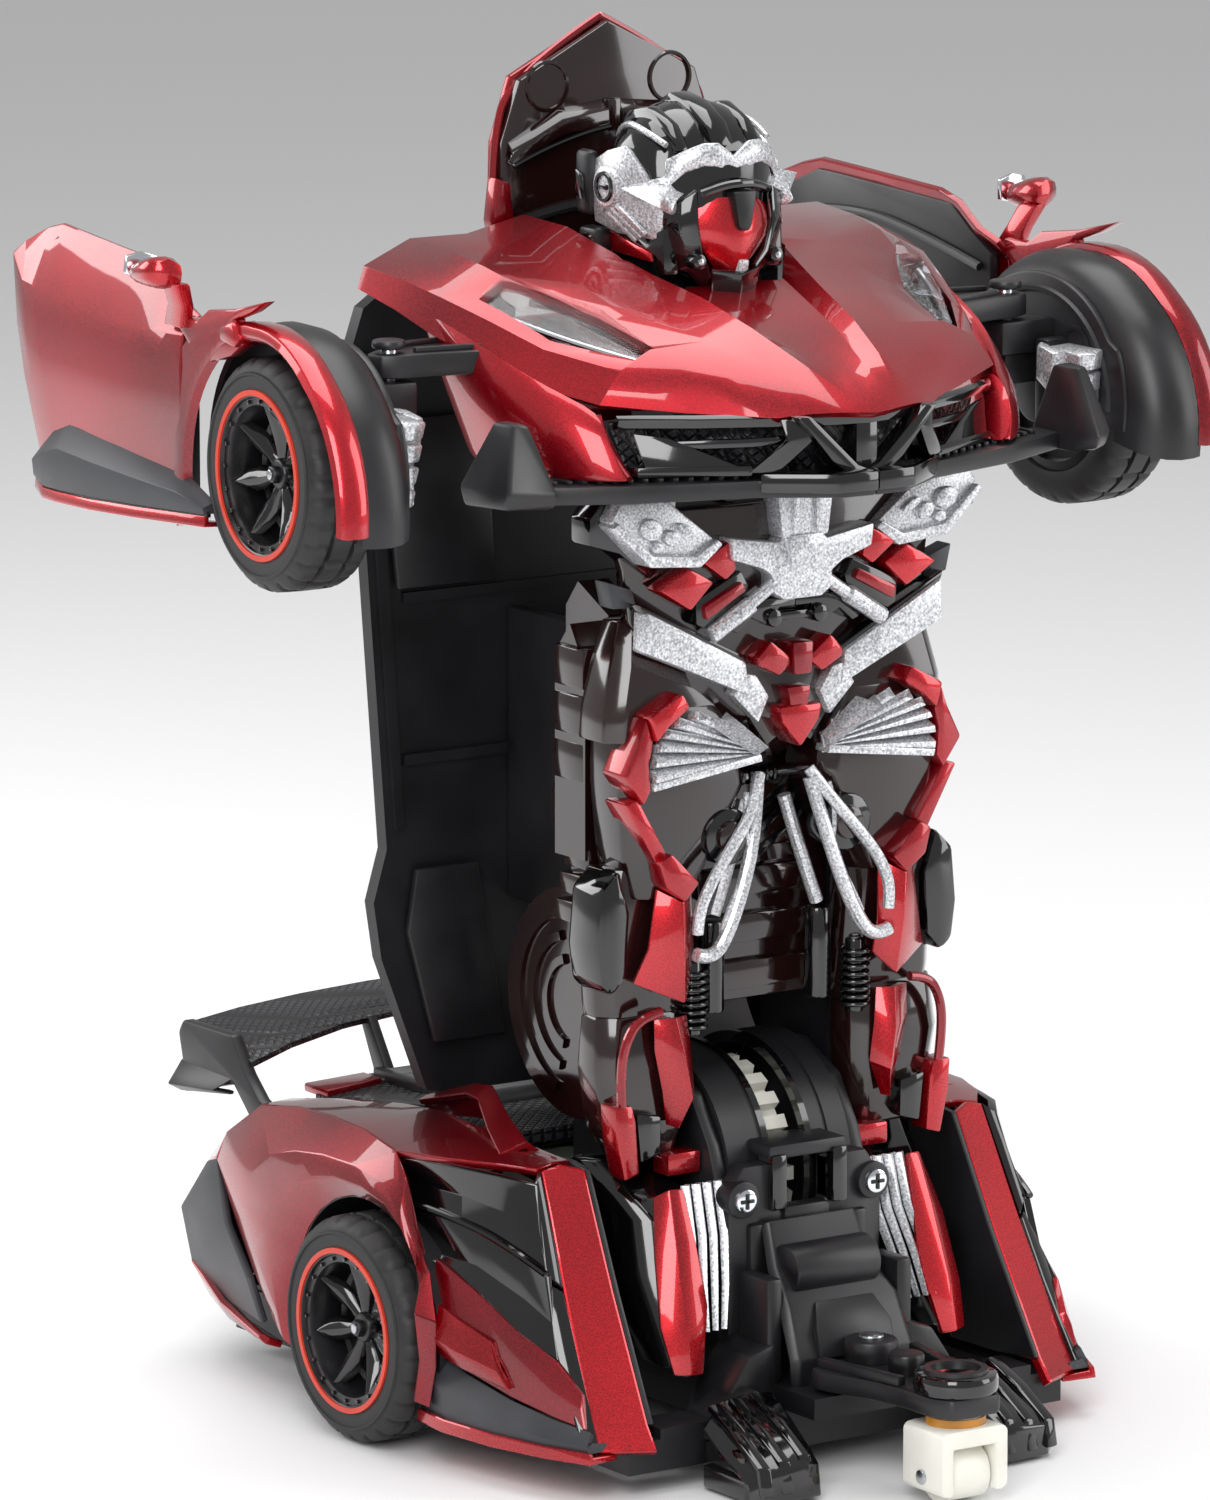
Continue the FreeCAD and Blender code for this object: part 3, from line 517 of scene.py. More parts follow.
def tower(name, levels, look, body, bevel=0.5, chamfer=3.0):
    # a six-sided column; each level is (z, low x, high x, front y, back y)
    rows = []
    for z, lowX, highX, front, back in levels:
        cut = min(chamfer, (highX - lowX) / 4)
        rows.append([(lowX, back, z), (lowX, front + cut, z), (lowX + cut, front, z),
                     (highX - cut, front, z),
                     (highX, front + cut, z), (highX, back, z)])
    return skin(name, rows, look, body, wrap=True, caps=True, bevel=bevel)


def makeAbdomen():
    depth = {"skin": -33.2, "relief": -35.6, "proud": -37.4}
    rows = []
    for z, outer, middle, inner, sideY, front in [
            (179, 38, 24, 12, -27, -33), (168, 34.5, 22, 11, -28, -33), (158, 33, 20, 8, -28, -31.5),
            (148, 26, 15, 6, -28.5, -31.5), (139, 15, 9, 4, -29, -33), (129.5, 3, 2, 1, -25, -26)]:
        rows.append([(-outer, sideY, z), (-middle, front + 1.2, z), (-inner, front, z), (0, front, z),
                     (inner, front, z), (middle, front + 1.2, z), (outer, sideY, z)])
    base = skin("abdomen_skin", rows, "plumGloss", "torso", wall=5.0, bevel=0.4)
    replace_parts(base, "abdomen_shell")
    plate("chest_plate_stem", "Y", [(-6.6, 183), (6.6, 183), (5.2, 172.6), (-5.2, 172.6)], depth["proud"],
          -32, "silver", "torso", 0.5)
    for x in (-2.6, 2.6):
        block("chest_stem_rib_%d" % (x > 0), (x - 0.7, -38.2, 173.5), (x + 0.7, -37.2, 183), "silver",
              "torso", 0.25)
    plate("chest_plate", "Y", [(-16.2, 173.6), (-15.7, 169.4), (-9.1, 167.2), (-6.7, 165.6), (-6.5, 162.4),
                               (-4.2, 160.9),
                               (4.2, 160.9), (6.5, 162.4), (6.7, 165.6), (9.1, 167.2), (15.7, 169.4),
                               (16.2, 173.6),
                               (5.4, 171.8), (3.6, 174.2), (-3.6, 174.2), (-5.4, 171.8)], -36.6, -31,
          "silver", "torso", 0.5)
    plate("chest_plate_step", "Y", [(-4.0, 173.2), (4.0, 173.2), (3.6, 167.4), (-3.6, 167.4)], -38.0, -36,
          "silver", "torso", 0.6)
    made = [
        plate("shoulder_plate_left", "Y", [(18.2, 173.2), (29.0, 181.6), (39.2, 182.2), (41.6, 178.4),
                                           (33.2, 170.8),
                                           (22.6, 169.8)], -34.6, -28, "silver", "torso", 0.7),
        plate("shoulder_lip_left", "Y", [(17.4, 172.4), (18.6, 173.6), (23.4, 170.8), (33.0, 171.8),
                                         (40.6, 178.6),
                                         (41.8, 177.6), (33.6, 169.6), (22.4, 168.6)], -35.8, -30, "silver",
              "torso", 0.4),
        plate("red_wedge_left", "Y", [(22.2, 169.6), (15.2, 173.2), (14.2, 167.4), (16.6, 165.6)],
              depth["relief"], -31, "brightRed", "torso", 0.6),
        plate("red_block_left", "Y", [(31.4, 164.9), (24.6, 168.7), (19.1, 165.6), (24.4, 160.6)],
              depth["relief"], -30, "brightRed", "torso", 0.7),
        plate("slot_frame_left", "Y", [(22.9, 162.2), (12.6, 167.0), (10.8, 164.0), (11.4, 161.8),
                                       (20.6, 156.8), (22.6, 157.8)],
              -34.6, -30, "pianoBlack", "torso", 0.4),
        plate("slot_bar_left", "Y", [(21.8, 161.2), (13.2, 165.2), (12.2, 163.4), (21.2, 158.6)], -36.0,
              -32, "candyRed", "torso", 0.5),
        tubePiece("piston_rod_left", [(5.6, -35.4, 164.2), (10.0, -35.2, 161.3), (14.2, -34.8, 158.6)],
                  1.25, "silver", "torso", 12),
        tubePiece("piston_body_left", [(11.0, -35.4, 160.6), (15.4, -35.0, 157.9), (19.4, -34.4, 155.4)],
                  1.7, "silver", "torso", 12),
        plate("hip_band_left", "Y", [(33.2, 161.0), (11.2, 149.6), (10.4, 143.2), (33.6, 153.4)], -34.4,
              -29.5, "silver", "torso", 0.45),
        plate("hip_band_edge_left", "Y", [(34.4, 162.4), (11.0, 150.6), (10.6, 149.4), (33.8, 160.8)],
              -33.4, -29, "pianoBlack", "torso", 0.3),
        plate("hip_point_left", "Y", [(10.9, 147.4), (8.6, 146.9), (5.7, 142.6), (8.1, 137.8),
                                      (13.8, 143.4)], -34.0, -29, "silver", "torso", 0.45),
        plate("belly_arm_left", "Y", [(9.6, 150.6), (6.8, 153.5), (2.4, 150.2), (2.2, 148.6), (4.9, 146.6),
                                      (9.5, 149.0)],
              -36.2, -31, "brightRed", "torso", 0.7),
        plate("belly_frame_left", "Y", [(13.0, 155.2), (10.0, 157.8), (6.4, 156.2), (3.6, 159.2),
                                        (0, 159.2), (0, 161.0), (9.4, 161.0),
                                        (14.6, 155.8)], -34.2, -30.5, "pianoBlack", "torso", 0.35),
        plate("waist_fin_left", "Y", [(8.8, 144.0), (4.6, 141.6), (2.6, 134.6), (5.0, 133.0), (9.8, 139.6)],
              -32.2, -26, "plumGloss", "torso", 0.4),
        plate("shoulder_back_left", "Y", [(24, 181), (40, 183), (43.5, 178.6), (43.5, 173.8), (37.0, 171.8),
                                          (30.0, 166.4), (26, 170)],
              -30.5, -24, "pianoBlack", "torso", 0.5),
        plate("side_tab_left", "Y", [(39.0, 166.6), (33.4, 164.6), (32.4, 161.2), (37.8, 161.4)], -29.6,
              -25, "greyBlack", "torso", 0.4),
        barrel("barbell_end_left", "Y", (5.2, 157.4), 1.7, -35.2, -31, "pianoBlack", "torso", 0.6, 20),
    ]
    for number, (x, z, wide, tall, turn) in enumerate([(33.4, 176.6, 2.6, 2.0, 0.3),
                                                       (28.6, 174.6, 2.0, 1.5, 0.4),
                                                       (32.0, 173.2, 1.4, 1.1, 0.0),
                                                       (25.4, 176.0, 2.2, 0.8, 0.5)]):
        outline = [(x + wide * math.cos(a) * math.cos(turn) - tall * math.sin(a) * math.sin(turn),
                    z + wide * math.cos(a) * math.sin(turn) + tall * math.sin(a) * math.cos(turn))
                   for a in [i * math.pi / 10 for i in range(20)]]
        made.append(plate("shoulder_boss_%d_left" % number, "Y", outline, -35.9, -33, "silver", "torso",
                          0.5))
    mirrorAll(made)
    block("barbell", (-5, -33.8, 156.6), (5, -31.5, 158.2), "pianoBlack", "torso", 0.5)
    plate("belly_core", "Y", [(-2.4, 152.8), (2.4, 152.8), (2.0, 146.6), (-2.0, 146.6)], -36.9, -31,
          "candyRed", "torso", 0.6)
    plate("crotch_neck", "Y", [(-2.6, 144.2), (2.6, 144.2), (2.0, 140.4), (-2.0, 140.4)], -35.6, -30,
          "candyRed", "torso", 0.4)
    plate("crotch_arrow", "Y", [(-5.0, 140.8), (5.0, 140.8), (4.2, 137.6), (0.0, 132.6), (-4.2, 137.6)],
          -36.2, -29, "brightRed", "torso", 0.8)
    block("leg_gap_wall", (-18.6, -18, 82), (18.6, -15, 131), "plumGloss", "torso", 0.4)
    for row in range(5):
        width = 15 - 1.6 * row
        block("gap_step_%d" % row, (-width, -19.4 - 0.2 * row, 84 + 9 * row),
              (width, -17.6, 89.5 + 9 * row), "plumGloss", "torso", 0.6)
    for turn in range(3):
        plate("gap_chevron_%d" % turn, "Y", [(-12 + turn, 116 + 4 * turn), (0, 108 + 4 * turn),
                                             (12 - turn, 116 + 4 * turn),
                                             (12 - turn, 118 + 4 * turn), (0, 110 + 4 * turn),
                                             (-12 + turn, 118 + 4 * turn)],
              -20.4, -18, "pianoBlack", "torso", 0.3)
    coil = {"centre": (-22.0, 125.4), "turns": 5, "radius": 1.7, "pitch": 1.8, "rod": 1.0}
    barrel("waist_coil_rod", "X", coil["centre"], coil["rod"], -9, 9, "steel", "torso", 0.2, 16)
    for turn in range(coil["turns"]):
        shift = coil["pitch"] * turn
        barrel("waist_coil_%d" % turn, "X", coil["centre"], coil["radius"], -4.5 + shift, -3.5 + shift,
               "pianoBlack", "torso", 0.3, 20)


def makeLegs():
    made = [
        tower("thigh_left", [(158, 24.5, 33, -26, -19), (150, 18, 36, -29, -19), (142, 12, 38, -30, -19),
                             (136, 11, 38.5, -30, -19)],
              "plumGloss", "torso"),
        tower("knee_left", [(142, 13, 34, -30, -19), (136, 9, 36, -31.4, -19), (126, 8, 36, -32, -19),
                            (116, 13, 35, -31.4, -19),
                            (106, 18.5, 33, -30, -19)], "plumGloss", "torso", 0.8),
        tower("calf_left", [(112, 19, 37, -28, -19), (98, 18, 38.5, -27, -19), (86, 17, 38, -27, -19),
                            (80, 18, 37, -27, -19)],
              "plumGloss", "torso", 0.8),
        tower("ankle_left", [(84, 19, 38, -27.5, -19), (74, 18.6, 39, -28.5, -19), (62, 19, 37, -28, -19),
                             (56.4, 20, 33, -27, -19)],
              "plumGloss", "torso", 0.8),
    ]
    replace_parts(made[0], "leg_shell_left")
    edge = [(31.6, 128.4), (31.9, 131.4), (31.3, 134.4), (30.0, 137.0), (27.6, 138.8), (23.4, 139.8),
            (19.0, 140.2), (15.6, 139.4)]
    tip = (7.6, 131.4)
    for number in range(len(edge) - 1):
        a, b = edge[number], edge[number + 1]
        rows = [[(a[0], -32.6, a[1]), (a[0] * 0.75 + b[0] * 0.25, -34.9, a[1] * 0.75 + b[1] * 0.25),
                 (a[0] * 0.35 + b[0] * 0.65, -34.9, a[1] * 0.35 + b[1] * 0.65), (b[0], -32.6, b[1])],
                [(tip[0] + 0.02 * i, -32.6 - (0.4 if 0 < i < 3 else 0),
                  tip[1] + 0.25 * (number + i / 3)) for i in range(4)]]
        made.append(skin("knee_fan_%d_left" % number, rows, "silver", "torso", wall=1.4, bevel=0.15))
    made += [
        plate("knee_edge_upper_left", "Y", [(33.2, 141.6), (26.0, 145.4), (24.2, 142.6), (28.8, 139.6),
                                            (31.8, 136.6)], -35.4, -27,
              "brightRed", "torso", 0.7),
        plate("knee_edge_left", "Y", [(33.4, 141.4), (31.8, 136.6), (32.8, 132.6), (32.4, 127.6),
                                      (34.0, 124.9), (38.2, 130.6), (35.0, 136.8)],
              -34.4, -26, "candyRed", "torso", 0.7),
        plate("shin_strip_left", "Y", [(37.6, 125.4), (34.8, 126.2), (28.4, 115.4), (30.8, 113.4)], -33.6,
              -26, "candyRed", "torso", 0.5),
        plate("shin_joint_left", "Y", [(30.9, 114.2), (28.2, 115.6), (21.9, 109.4), (25.2, 106.0),
                                       (29.6, 109.2)], -35.2, -27,
              "candyRed", "torso", 0.7),
        skin("shin_plate_left", [[(21.2, -31.0, 108.6), (25.4, -34.6, 106.0), (29.2, -31.0, 108.4)],
                                 [(20.8, -31.4, 97.0), (25.0, -34.4, 97.0), (31.0, -31.0, 97.0)],
                                 [(20.6, -30.0, 90.4), (24.0, -33.4, 86.4), (33.2, -29.4, 90.6)]],
             "brightRed", "torso", wall=2.0, bevel=0.4),
        skin("lower_plate_left", [[(21.6, -30.2, 83.6), (25.0, -31.6, 83.6), (28.9, -30.0, 83.6)],
                                  [(20.9, -30.6, 77.0), (24.0, -33.4, 76.0), (28.9, -30.2, 77.6)],
                                  [(20.0, -30.4, 69.6), (22.6, -33.8, 68.4), (27.2, -30.2, 69.8)],
                                  [(23.2, -29.6, 62.6), (24.2, -31.4, 62.4), (25.8, -29.4, 63.0)]],
             "brightRed", "torso", wall=2.0, bevel=0.3),
        plate("leg_disc_left", "Y", [(36.0, 112.6), (40.2, 108.6), (41.2, 98.0), (40.2, 90.6), (37.4, 88.4),
                                     (34.2, 92.0), (33.4, 104.0)],
              -29.4, -19, "pianoBlack", "torso", 1.4),
        tubePiece("edge_strip_left", [(28.4, -31.6, 85.2), (33.0, -31.4, 84.6), (36.0, -31.0, 80.0),
                                      (36.8, -30.6, 74.0), (36.2, -30.2, 67.6)],
                  0.95, "candyRed", "torso", 12),
        plate("edge_plate_left", "Y", [(38.4, 68.2), (34.4, 68.0), (33.6, 64.6), (32.8, 54.8), (36.2, 53.8),
                                       (38.0, 62.0)], -31.2, -26,
              "brightRed", "torso", 0.5),
        plate("ankle_grille_left", "Y", [(33.0, 66.0), (27.4, 65.0), (27.2, 58.0), (32.0, 56.6)], -30.4,
              -26, "pianoBlack", "torso", 0.5),
        tubePiece("loop_outer_left", [(5.6, -30.6, 127.4), (9.0, -33.6, 121.6), (14.4, -34.6, 115.4),
                                      (19.2, -34.8, 109.4), (21.9, -34.4, 103.6),
                                      (21.7, -33.8, 99.6)], 1.15, "silver", "torso", 14),
        tubePiece("loop_inner_left", [(6.0, -30.4, 125.6), (8.0, -32.4, 116.4), (10.8, -33.2, 107.6),
                                      (14.6, -33.6, 98.8), (18.4, -33.8, 94.2),
                                      (22.0, -33.8, 95.6)], 1.35, "silver", "torso", 14),
        tubePiece("loop_rod_left", [(4.6, -24.0, 121.4), (7.8, -24.6, 110.6), (11.8, -24.6, 100.4)], 1.3,
                  "silver", "torso", 14),
        barrel("rod_sleeve_left", "Z", (12.2, -24.4), 2.5, 82, 99.4, "pianoBlack", "torso", 0.5, 20),
        tubePiece("kinked_wire_left", [(9.4, -31.8, 124.6), (10.6, -32.8, 118.4), (8.8, -33.0, 112.0),
                                       (13.4, -33.2, 105.2), (16.0, -33.4, 99.6)],
                  0.5, "silver", "torso", 8),
        barrel("knee_joint_left", "Y", (13.4, 116.6), 5.4, -32.4, -26, "pianoBlack", "torso", 0.6, 36),
        barrel("knee_joint_cap_left", "Y", (13.4, 116.6), 3.2, -33.6, -30, "plumGloss", "torso", 0.8, 28),
        plate("fan_lip_left", "Y", [(7.4, 130.6), (31.8, 127.4), (32.2, 128.8), (7.8, 132.0)], -34.4, -30,
              "silver", "torso", 0.25),
    ]
    for step in range(4):
        z = 152 - 9 * step
        made.append(block("hip_rib_%d_left" % step, (31, -17.8 + 0.6 * step, z - 7.6),
                          (36.6 - 0.5 * step, -8 + step, z), "plumGloss", "torso", 0.5))
    for step in range(3):
        made.append(block("calf_rib_%d_left" % step, (31, -17.5, 100 + 5 * step),
                          (37 - step, -9, 104 + 5 * step), "plumGloss", "torso", 0.4))
        made.append(ringPiece("side_groove_%d_left" % step, "X", (-4.0, 82.0),
                              [(29.4, 18.5 - 4.5 * step), (30.3, 18.2 - 4.5 * step),
                              (30.3, 16.6 - 4.5 * step), (29.4, 16.3 - 4.5 * step)], "plumGloss", "torso",
                              40, smooth=20, arc=150, begin=-75))
    spring = {"centre": (18.6, -27.4), "turns": 8, "low": 80.6, "pitch": 1.45, "radius": 2.6, "wire": 0.5}
    for turn in range(spring["turns"]):
        level = spring["low"] + spring["pitch"] * turn
        wire = [(level + spring["wire"] * math.sin(i * math.pi / 4),
                 spring["radius"] + spring["wire"] * math.cos(i * math.pi / 4)) for i in range(9)]
        made.append(ringPiece("spring_turn_%d_left" % turn, "Z", spring["centre"], wire, "pianoBlack",
                              "torso", 24,
                              smooth=60))
    made.append(barrel("spring_core_left", "Z", spring["centre"], 1.8, 79, 93, "pianoBlack", "torso", 0.3,
                       20))
    mirrorAll(made)


def makeShins():
    made = [
        tower("shin_end_left", [(55.6, 18, 37, -20, -14), (46, 18, 34, -33, -16), (36, 19, 35, -36, -20),
                                (20, 24, 34, -43.5, -34)],
              "pianoBlack", "torso", 0.6),
        skin("shin_cover_left", [[(25.8, -35.2, 52.0), (28.6, -34.6, 52.0), (30.8, -32.4, 50.4)],
                                 [(25.0, -38.4, 42.0), (29.2, -38.4, 42.0), (33.2, -36.4, 40.0)],
                                 [(24.6, -41.6, 31.0), (30.0, -42.4, 29.0), (34.4, -40.2, 27.4)],
                                 [(27.4, -44.4, 18.6), (30.6, -44.4, 18.6), (33.4, -43.4, 19.0)]],
             "brightRed", "torso", wall=1.6, bevel=0.4),
        block("ankle_square_left", (17.8, -29.4, 52.9), (25.2, -24, 57.2), "brightRed", "torso", 0.5),
    ]
    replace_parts(made[0], "lower_shins")
    ribs = {"count": 4, "firstX": 15.9, "pitch": 2.45}
    for rib in range(ribs["count"]):
        x = ribs["firstX"] + ribs["pitch"] * rib
        made.append(skin("shin_rib_%d_left" % rib,
                         [[(x, -33.6, 52.2), (x + 1.1, -34.9, 52.2), (x + 2.3, -33.8, 52.2)],
                                                    [(x + 0.5, -36.4, 42.5), (x + 1.5, -37.8, 42.5),
                                                     (x + 2.6, -36.6, 42.5)],
                                                    [(x + 2.4, -39.4, 34.0), (x + 3.2, -40.6, 34.0),
                                                     (x + 4.2, -39.6, 34.0)],
                                                    [(x + 4.6 - 0.5 * rib, -42.0, 26.0),
                                                     (x + 5.2 - 0.5 * rib, -42.8, 26.0),
                                                     (x + 6.0 - 0.5 * rib, -42.0, 26.0)]],
                         "silver", "torso", wall=1.0, bevel=0.2))
    mirrorAll(made)


makeAbdomen()
makeLegs()
makeShins()
print("torso front done")


# chest: bonnet, headlights, grille and splitter

def punch(piece, cutters, bevel):
    # cuts plain prisms out of a skin, then bevels what is left
    for cutter in cutters:
        applyModifier(piece, "BOOLEAN", operation="DIFFERENCE", object=cutter, solver="EXACT")
        bpy.data.objects.remove(cutter)
    if bevel:
        applyModifier(piece, "BEVEL", width=bevel * mm, segments=2, limit_method="ANGLE",
                      angle_limit=math.radians(28))
    fresh()
    piece.select_set(True)
    bpy.context.view_layer.objects.active = piece
    bpy.ops.object.shade_smooth_by_angle(angle=math.radians(24))
    return piece


def cutterOf(name, axis, outline, start, end):
    return plate(name, axis, outline, start, end, "satinBlack", "base", 0)


def makeBonnet():
    half = [
        [(0, -59.5, 198.6), (3, -59.2, 198.8), (6, -58.2, 198.9), (9, -57.0, 198.9), (12, -55.6, 198.8),
         (15, -54.2, 198.5), (17.5, -53.0, 198.2)],
        [(0, -57.5, 200.8), (3.6, -56.8, 201.2), (7.5, -55.6, 201.4), (11, -54.4, 201.2),
         (15, -52.6, 200.6), (19, -50.6, 199.4), (22, -49.0, 198.4)],
        [(0, -48, 205.6), (5, -48, 206.0), (9, -47.4, 207.4), (15, -46, 206.4), (22, -45, 205.2),
         (27, -44, 203.4), (31, -43.2, 199.0)],
        [(0, -36, 210.0), (7.8, -36, 210.4), (11.4, -36, 212.2), (21, -35.6, 210.6), (33, -35, 209.7),
         (40, -35, 206.4), (44.5, -35, 200.6)],
        [(0, -23, 213.6), (10.4, -23, 213.8), (13.4, -23, 216.4), (25, -22, 214.4), (39, -21, 213.0),
         (47.4, -21, 209.4), (51.5, -22, 203.4)],
        [(0, -11.6, 216.6), (13.4, -11.4, 216.2), (16.4, -11, 219.6), (29, -10, 218.2), (42.4, -9, 218.2),
         (51.5, -9, 213.6), (54.6, -10, 207.0)],
        [(0, 0, 219.2), (14.6, 0, 219.4), (18.6, -1, 222.8), (31, 1, 221.0), (45, 2, 221.8),
         (55.0, 2, 217.0), (56.6, 2, 210.0)],
        [(0, 12, 221.4), (15.6, 12, 222.0), (20.6, 11, 226.4), (33, 12, 223.6), (46, 12, 223.6),
         (56.4, 12, 219.0), (58.2, 12, 213.6)],
        [(0, 24.6, 223.4), (17.0, 24.6, 223.6), (22.0, 23.5, 227.4), (34, 24.6, 224.6), (46.5, 25, 224.6),
         (57.4, 24, 220.4), (59.4, 23, 216.4)],
    ]
    rows = [[(-x, y, z) for x, y, z in reversed(row[1:])] + row for row in half]
    shell = skin("bonnet_skin", rows, "candyRed", "chest", wall=1.7, offset=-1.0)
    hole = cutterOf("hole", "Z", [(-12.9, -11.0), (12.9, -11.0), (18.4, -4.4), (17.6, 30), (-17.6, 30),
                                  (-18.4, -4.4)], 150, 260)
    slots = [cutterOf("slot_%d" % side, "Z", [(side * 32.0, -34.6), (side * 36.4, -34.6),
                                              (side * 45.4, -20), (side * 50, -3.6), (side * 44.4, -3.2),
                                              (side * 38.6, -12), (side * 34.4, -20)][::side], 150,
                      260) for side in (1, -1)]
    punch(shell, [hole] + slots, 0.35)
    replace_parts(shell, "bonnet")
    made = []
    fender = skin("front_fender_left", [
        [(56.4, 6.5, 214.6), (55.4, -4, 211.6), (54.2, -14, 208.4), (51.6, -24, 204.6), (48.0, -31, 201.6),
         (44.6, -35, 199.2)],
        [(55.6, 4.8, 208.6), (56.6, -5, 206.4), (56.6, -15, 203.6), (54.4, -25, 200.2), (50.4, -33, 198.0),
         (45.4, -37.6, 196.6)],
        [(54.2, 0.4, 199.0), (55.8, -8, 198.6), (56.4, -17, 197.0), (55.0, -26.6, 194.8),
         (51.4, -35, 193.4), (45.2, -40.0, 192.6)],
        [(52.6, -3.6, 189.6), (53.6, -11, 189.4), (54.0, -20, 188.8), (53.0, -29.6, 188.2),
         (49.8, -37.6, 187.8), (43.4, -42.0, 187.6)],
        [(52.2, -4.8, 187.4), (53.0, -11.8, 187.3), (53.4, -20.4, 187.3), (52.4, -30.0, 187.3),
         (49.0, -38.2, 187.3), (42.4, -42.4, 187.3)],
    ], "candyRed", "chest", wall=1.8, soften=1, bevel=0.3)
    made.append(fender)
    made.append(skin("fender_return_left", [
        [(44.4, -35.2, 199.4), (43.2, -34.0, 198.6), (42.6, -32.4, 197.6)],
        [(45.3, -37.8, 196.6), (43.6, -36.4, 196.2), (42.6, -34.2, 195.6)],
        [(45.0, -40.2, 192.6), (43.2, -38.8, 192.6), (42.0, -36.2, 192.6)],
        [(42.3, -42.5, 187.4), (40.8, -41.0, 187.4), (39.8, -38.0, 187.4)],
    ], "candyRed", "chest", wall=0.8, soften=1))
    # headlight insides
    made += [
        plate("lamp_tray_left", "Z", [(32.4, -34.2), (36.2, -34.2), (45.2, -19.8), (49.6, -4.2),
                                      (44.6, -4.0), (38.8, -12), (34.6, -20)],
              201.5, 203.5, "pianoBlack", "chest", 0.2),
        barrel("lamp_bowl_a_left", "Z", (36.0, -25.6), 2.2, 203.5, 206.4, "chrome", "chest", 0.3, 28, 3.3),
        barrel("lamp_bulb_a_left", "Z", (36.0, -25.6), 1.3, 206.4, 207.6, "clear", "chest", 0.5, 20, 0.8),
        barrel("lamp_bowl_b_left", "Z", (40.4, -16.6), 2.6, 204.5, 209.2, "chrome", "chest", 0.3, 28, 3.6),
        barrel("lamp_bulb_b_left", "Z", (40.4, -16.6), 1.4, 209.2, 210.6, "clear", "chest", 0.5, 20, 0.8),
    ]
    for number in range(4):
        y = -12 + 2.5 * number
        made.append(block("lamp_strip_%d_left" % number, (42.0 + 0.9 * number, y, 208.4 + 1.1 * number),
                          (47.4 + 0.7 * number, y + 1.1, 209.8 + 1.1 * number),
                          "chrome", "chest", 0.3))
    made.append(tubePiece("lamp_line_left", [(35.2, -33.4, 207.6), (43.6, -20.4, 210.6),
                                             (48.6, -5.4, 214.6)], 0.6, "chrome", "chest", 10))
    # grille
    front = [(0.0, -57.6), (8.0, -56.0), (18.0, -51.6), (30.0, -45.6), (42.0, -37.6)]
    made += [
        skin("grille_bar_left", [[(x, y + 1.0, 198.7) for x, y in front], [(x, y, 197.9) for x, y in front],
                                 [(x, y + 0.4, 196.4) for x, y in front],
                                 [(x, y + 2.0, 195.9) for x, y in front]], "pianoBlack", "chest", wall=1.2,
             bevel=0.2),
        skin("grille_mesh_left", [[(x * 0.985, y + 4.4, 196.8) for x, y in front],
                                  [(x * 0.96, y + 6.4, 187.4) for x, y in front]],
             "grilleMesh", "chest", wall=0.8),
        skin("grille_slat_left", [[(12.8, -53.0, 194.6), (22, -48.8, 194.2), (36, -40.8, 193.8)],
                                  [(12.8, -53.0, 193.0), (22, -48.8, 192.6), (36, -40.8, 192.2)]],
             "pianoBlack", "chest", wall=1.4, bevel=0.3),
        plate("grille_strut_left", "Y", [(15.8, 198.6), (12.8, 198.6), (2.2, 188.8), (0.0, 188.0),
                                         (0.0, 185.6), (3.4, 186.4), (7.6, 189.4)],
              -57.2, -53.2, "pianoBlack", "chest", 0.5),
        skin("grille_post_left", [[(13.0, -55.4, 198.0), (17.2, -53.4, 198.0)],
                                  [(12.2, -56.6, 194.0), (16.4, -54.6, 194.0)],
                                  [(17.0, -52.8, 188.0), (22.0, -50.2, 188.0)]], "pianoBlack", "chest",
             wall=1.8, bevel=0.4),
        plate("grille_scoop_left", "Z", [(21.0, -50.2), (40.0, -40.6), (40.6, -36.4), (17.0, -44.0)], 187.4,
              189.4, "pianoBlack", "chest", 0.5),
        skin("grille_fin_left", [[(23.0, -49.0, 189.2), (38.6, -41.2, 189.2)],
                                 [(34.2, -42.0, 194.6), (39.6, -38.6, 195.4)]], "pianoBlack",
             "chest", wall=1.2, bevel=0.3),
        plate("splitter_blade_left", "Z", [(0, -46), (0, -59.6), (7, -59.2), (20, -50.4), (43, -43.6),
                                           (60, -35.0), (60, -27.2), (50, -29.8), (38, -33.6)],
              183.3, 186.6, "satinBlack", "chest", 0.5),
        plate("splitter_tongue_left", "Z", [(0, -50), (0, -60.6), (8.4, -60.0), (20.2, -51.4), (17, -47)],
              184.2, 188.0, "pianoBlack", "chest", 0.6),
        skin("splitter_fin_left", [
            [(59.6, -27.4, 183.0), (59.6, -39.4, 183.0), (61.0, -45.4, 184.4), (67.6, -39.0, 183.6),
             (68.0, -25.6, 183.0)],
            [(59.8, -26.4, 186.6), (59.8, -40.4, 186.6), (61.0, -46.4, 187.0), (68.0, -40.4, 186.8),
             (68.4, -24.6, 186.6)],
            [(61.4, -30.6, 198.8), (61.4, -35.6, 198.8), (62.0, -38.2, 198.8), (64.6, -37.0, 199.0),
             (65.4, -31.6, 199.0)],
        ], "satinBlack", "chest", wrap=True, caps=True, bevel=0.8),
    ]
    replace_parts(named(made, "splitter_blade_left"), "front_bumper")
    ribs = {"count": 15, "firstX": 17.0, "pitch": 2.6}
    for rib in range(ribs["count"]):
        x = ribs["firstX"] + ribs["pitch"] * rib
        frontY = -51.6 + 0.42 * (x - 17.0) + (1.0 if x < 20 else 0)
        made.append(block("splitter_rib_%d_left" % rib, (x, frontY + 1.6, 186.4),
                          (x + 1.2, frontY + 8.4, 187.4), "satinBlack", "chest", 0.25))
    mirrorAll(made)
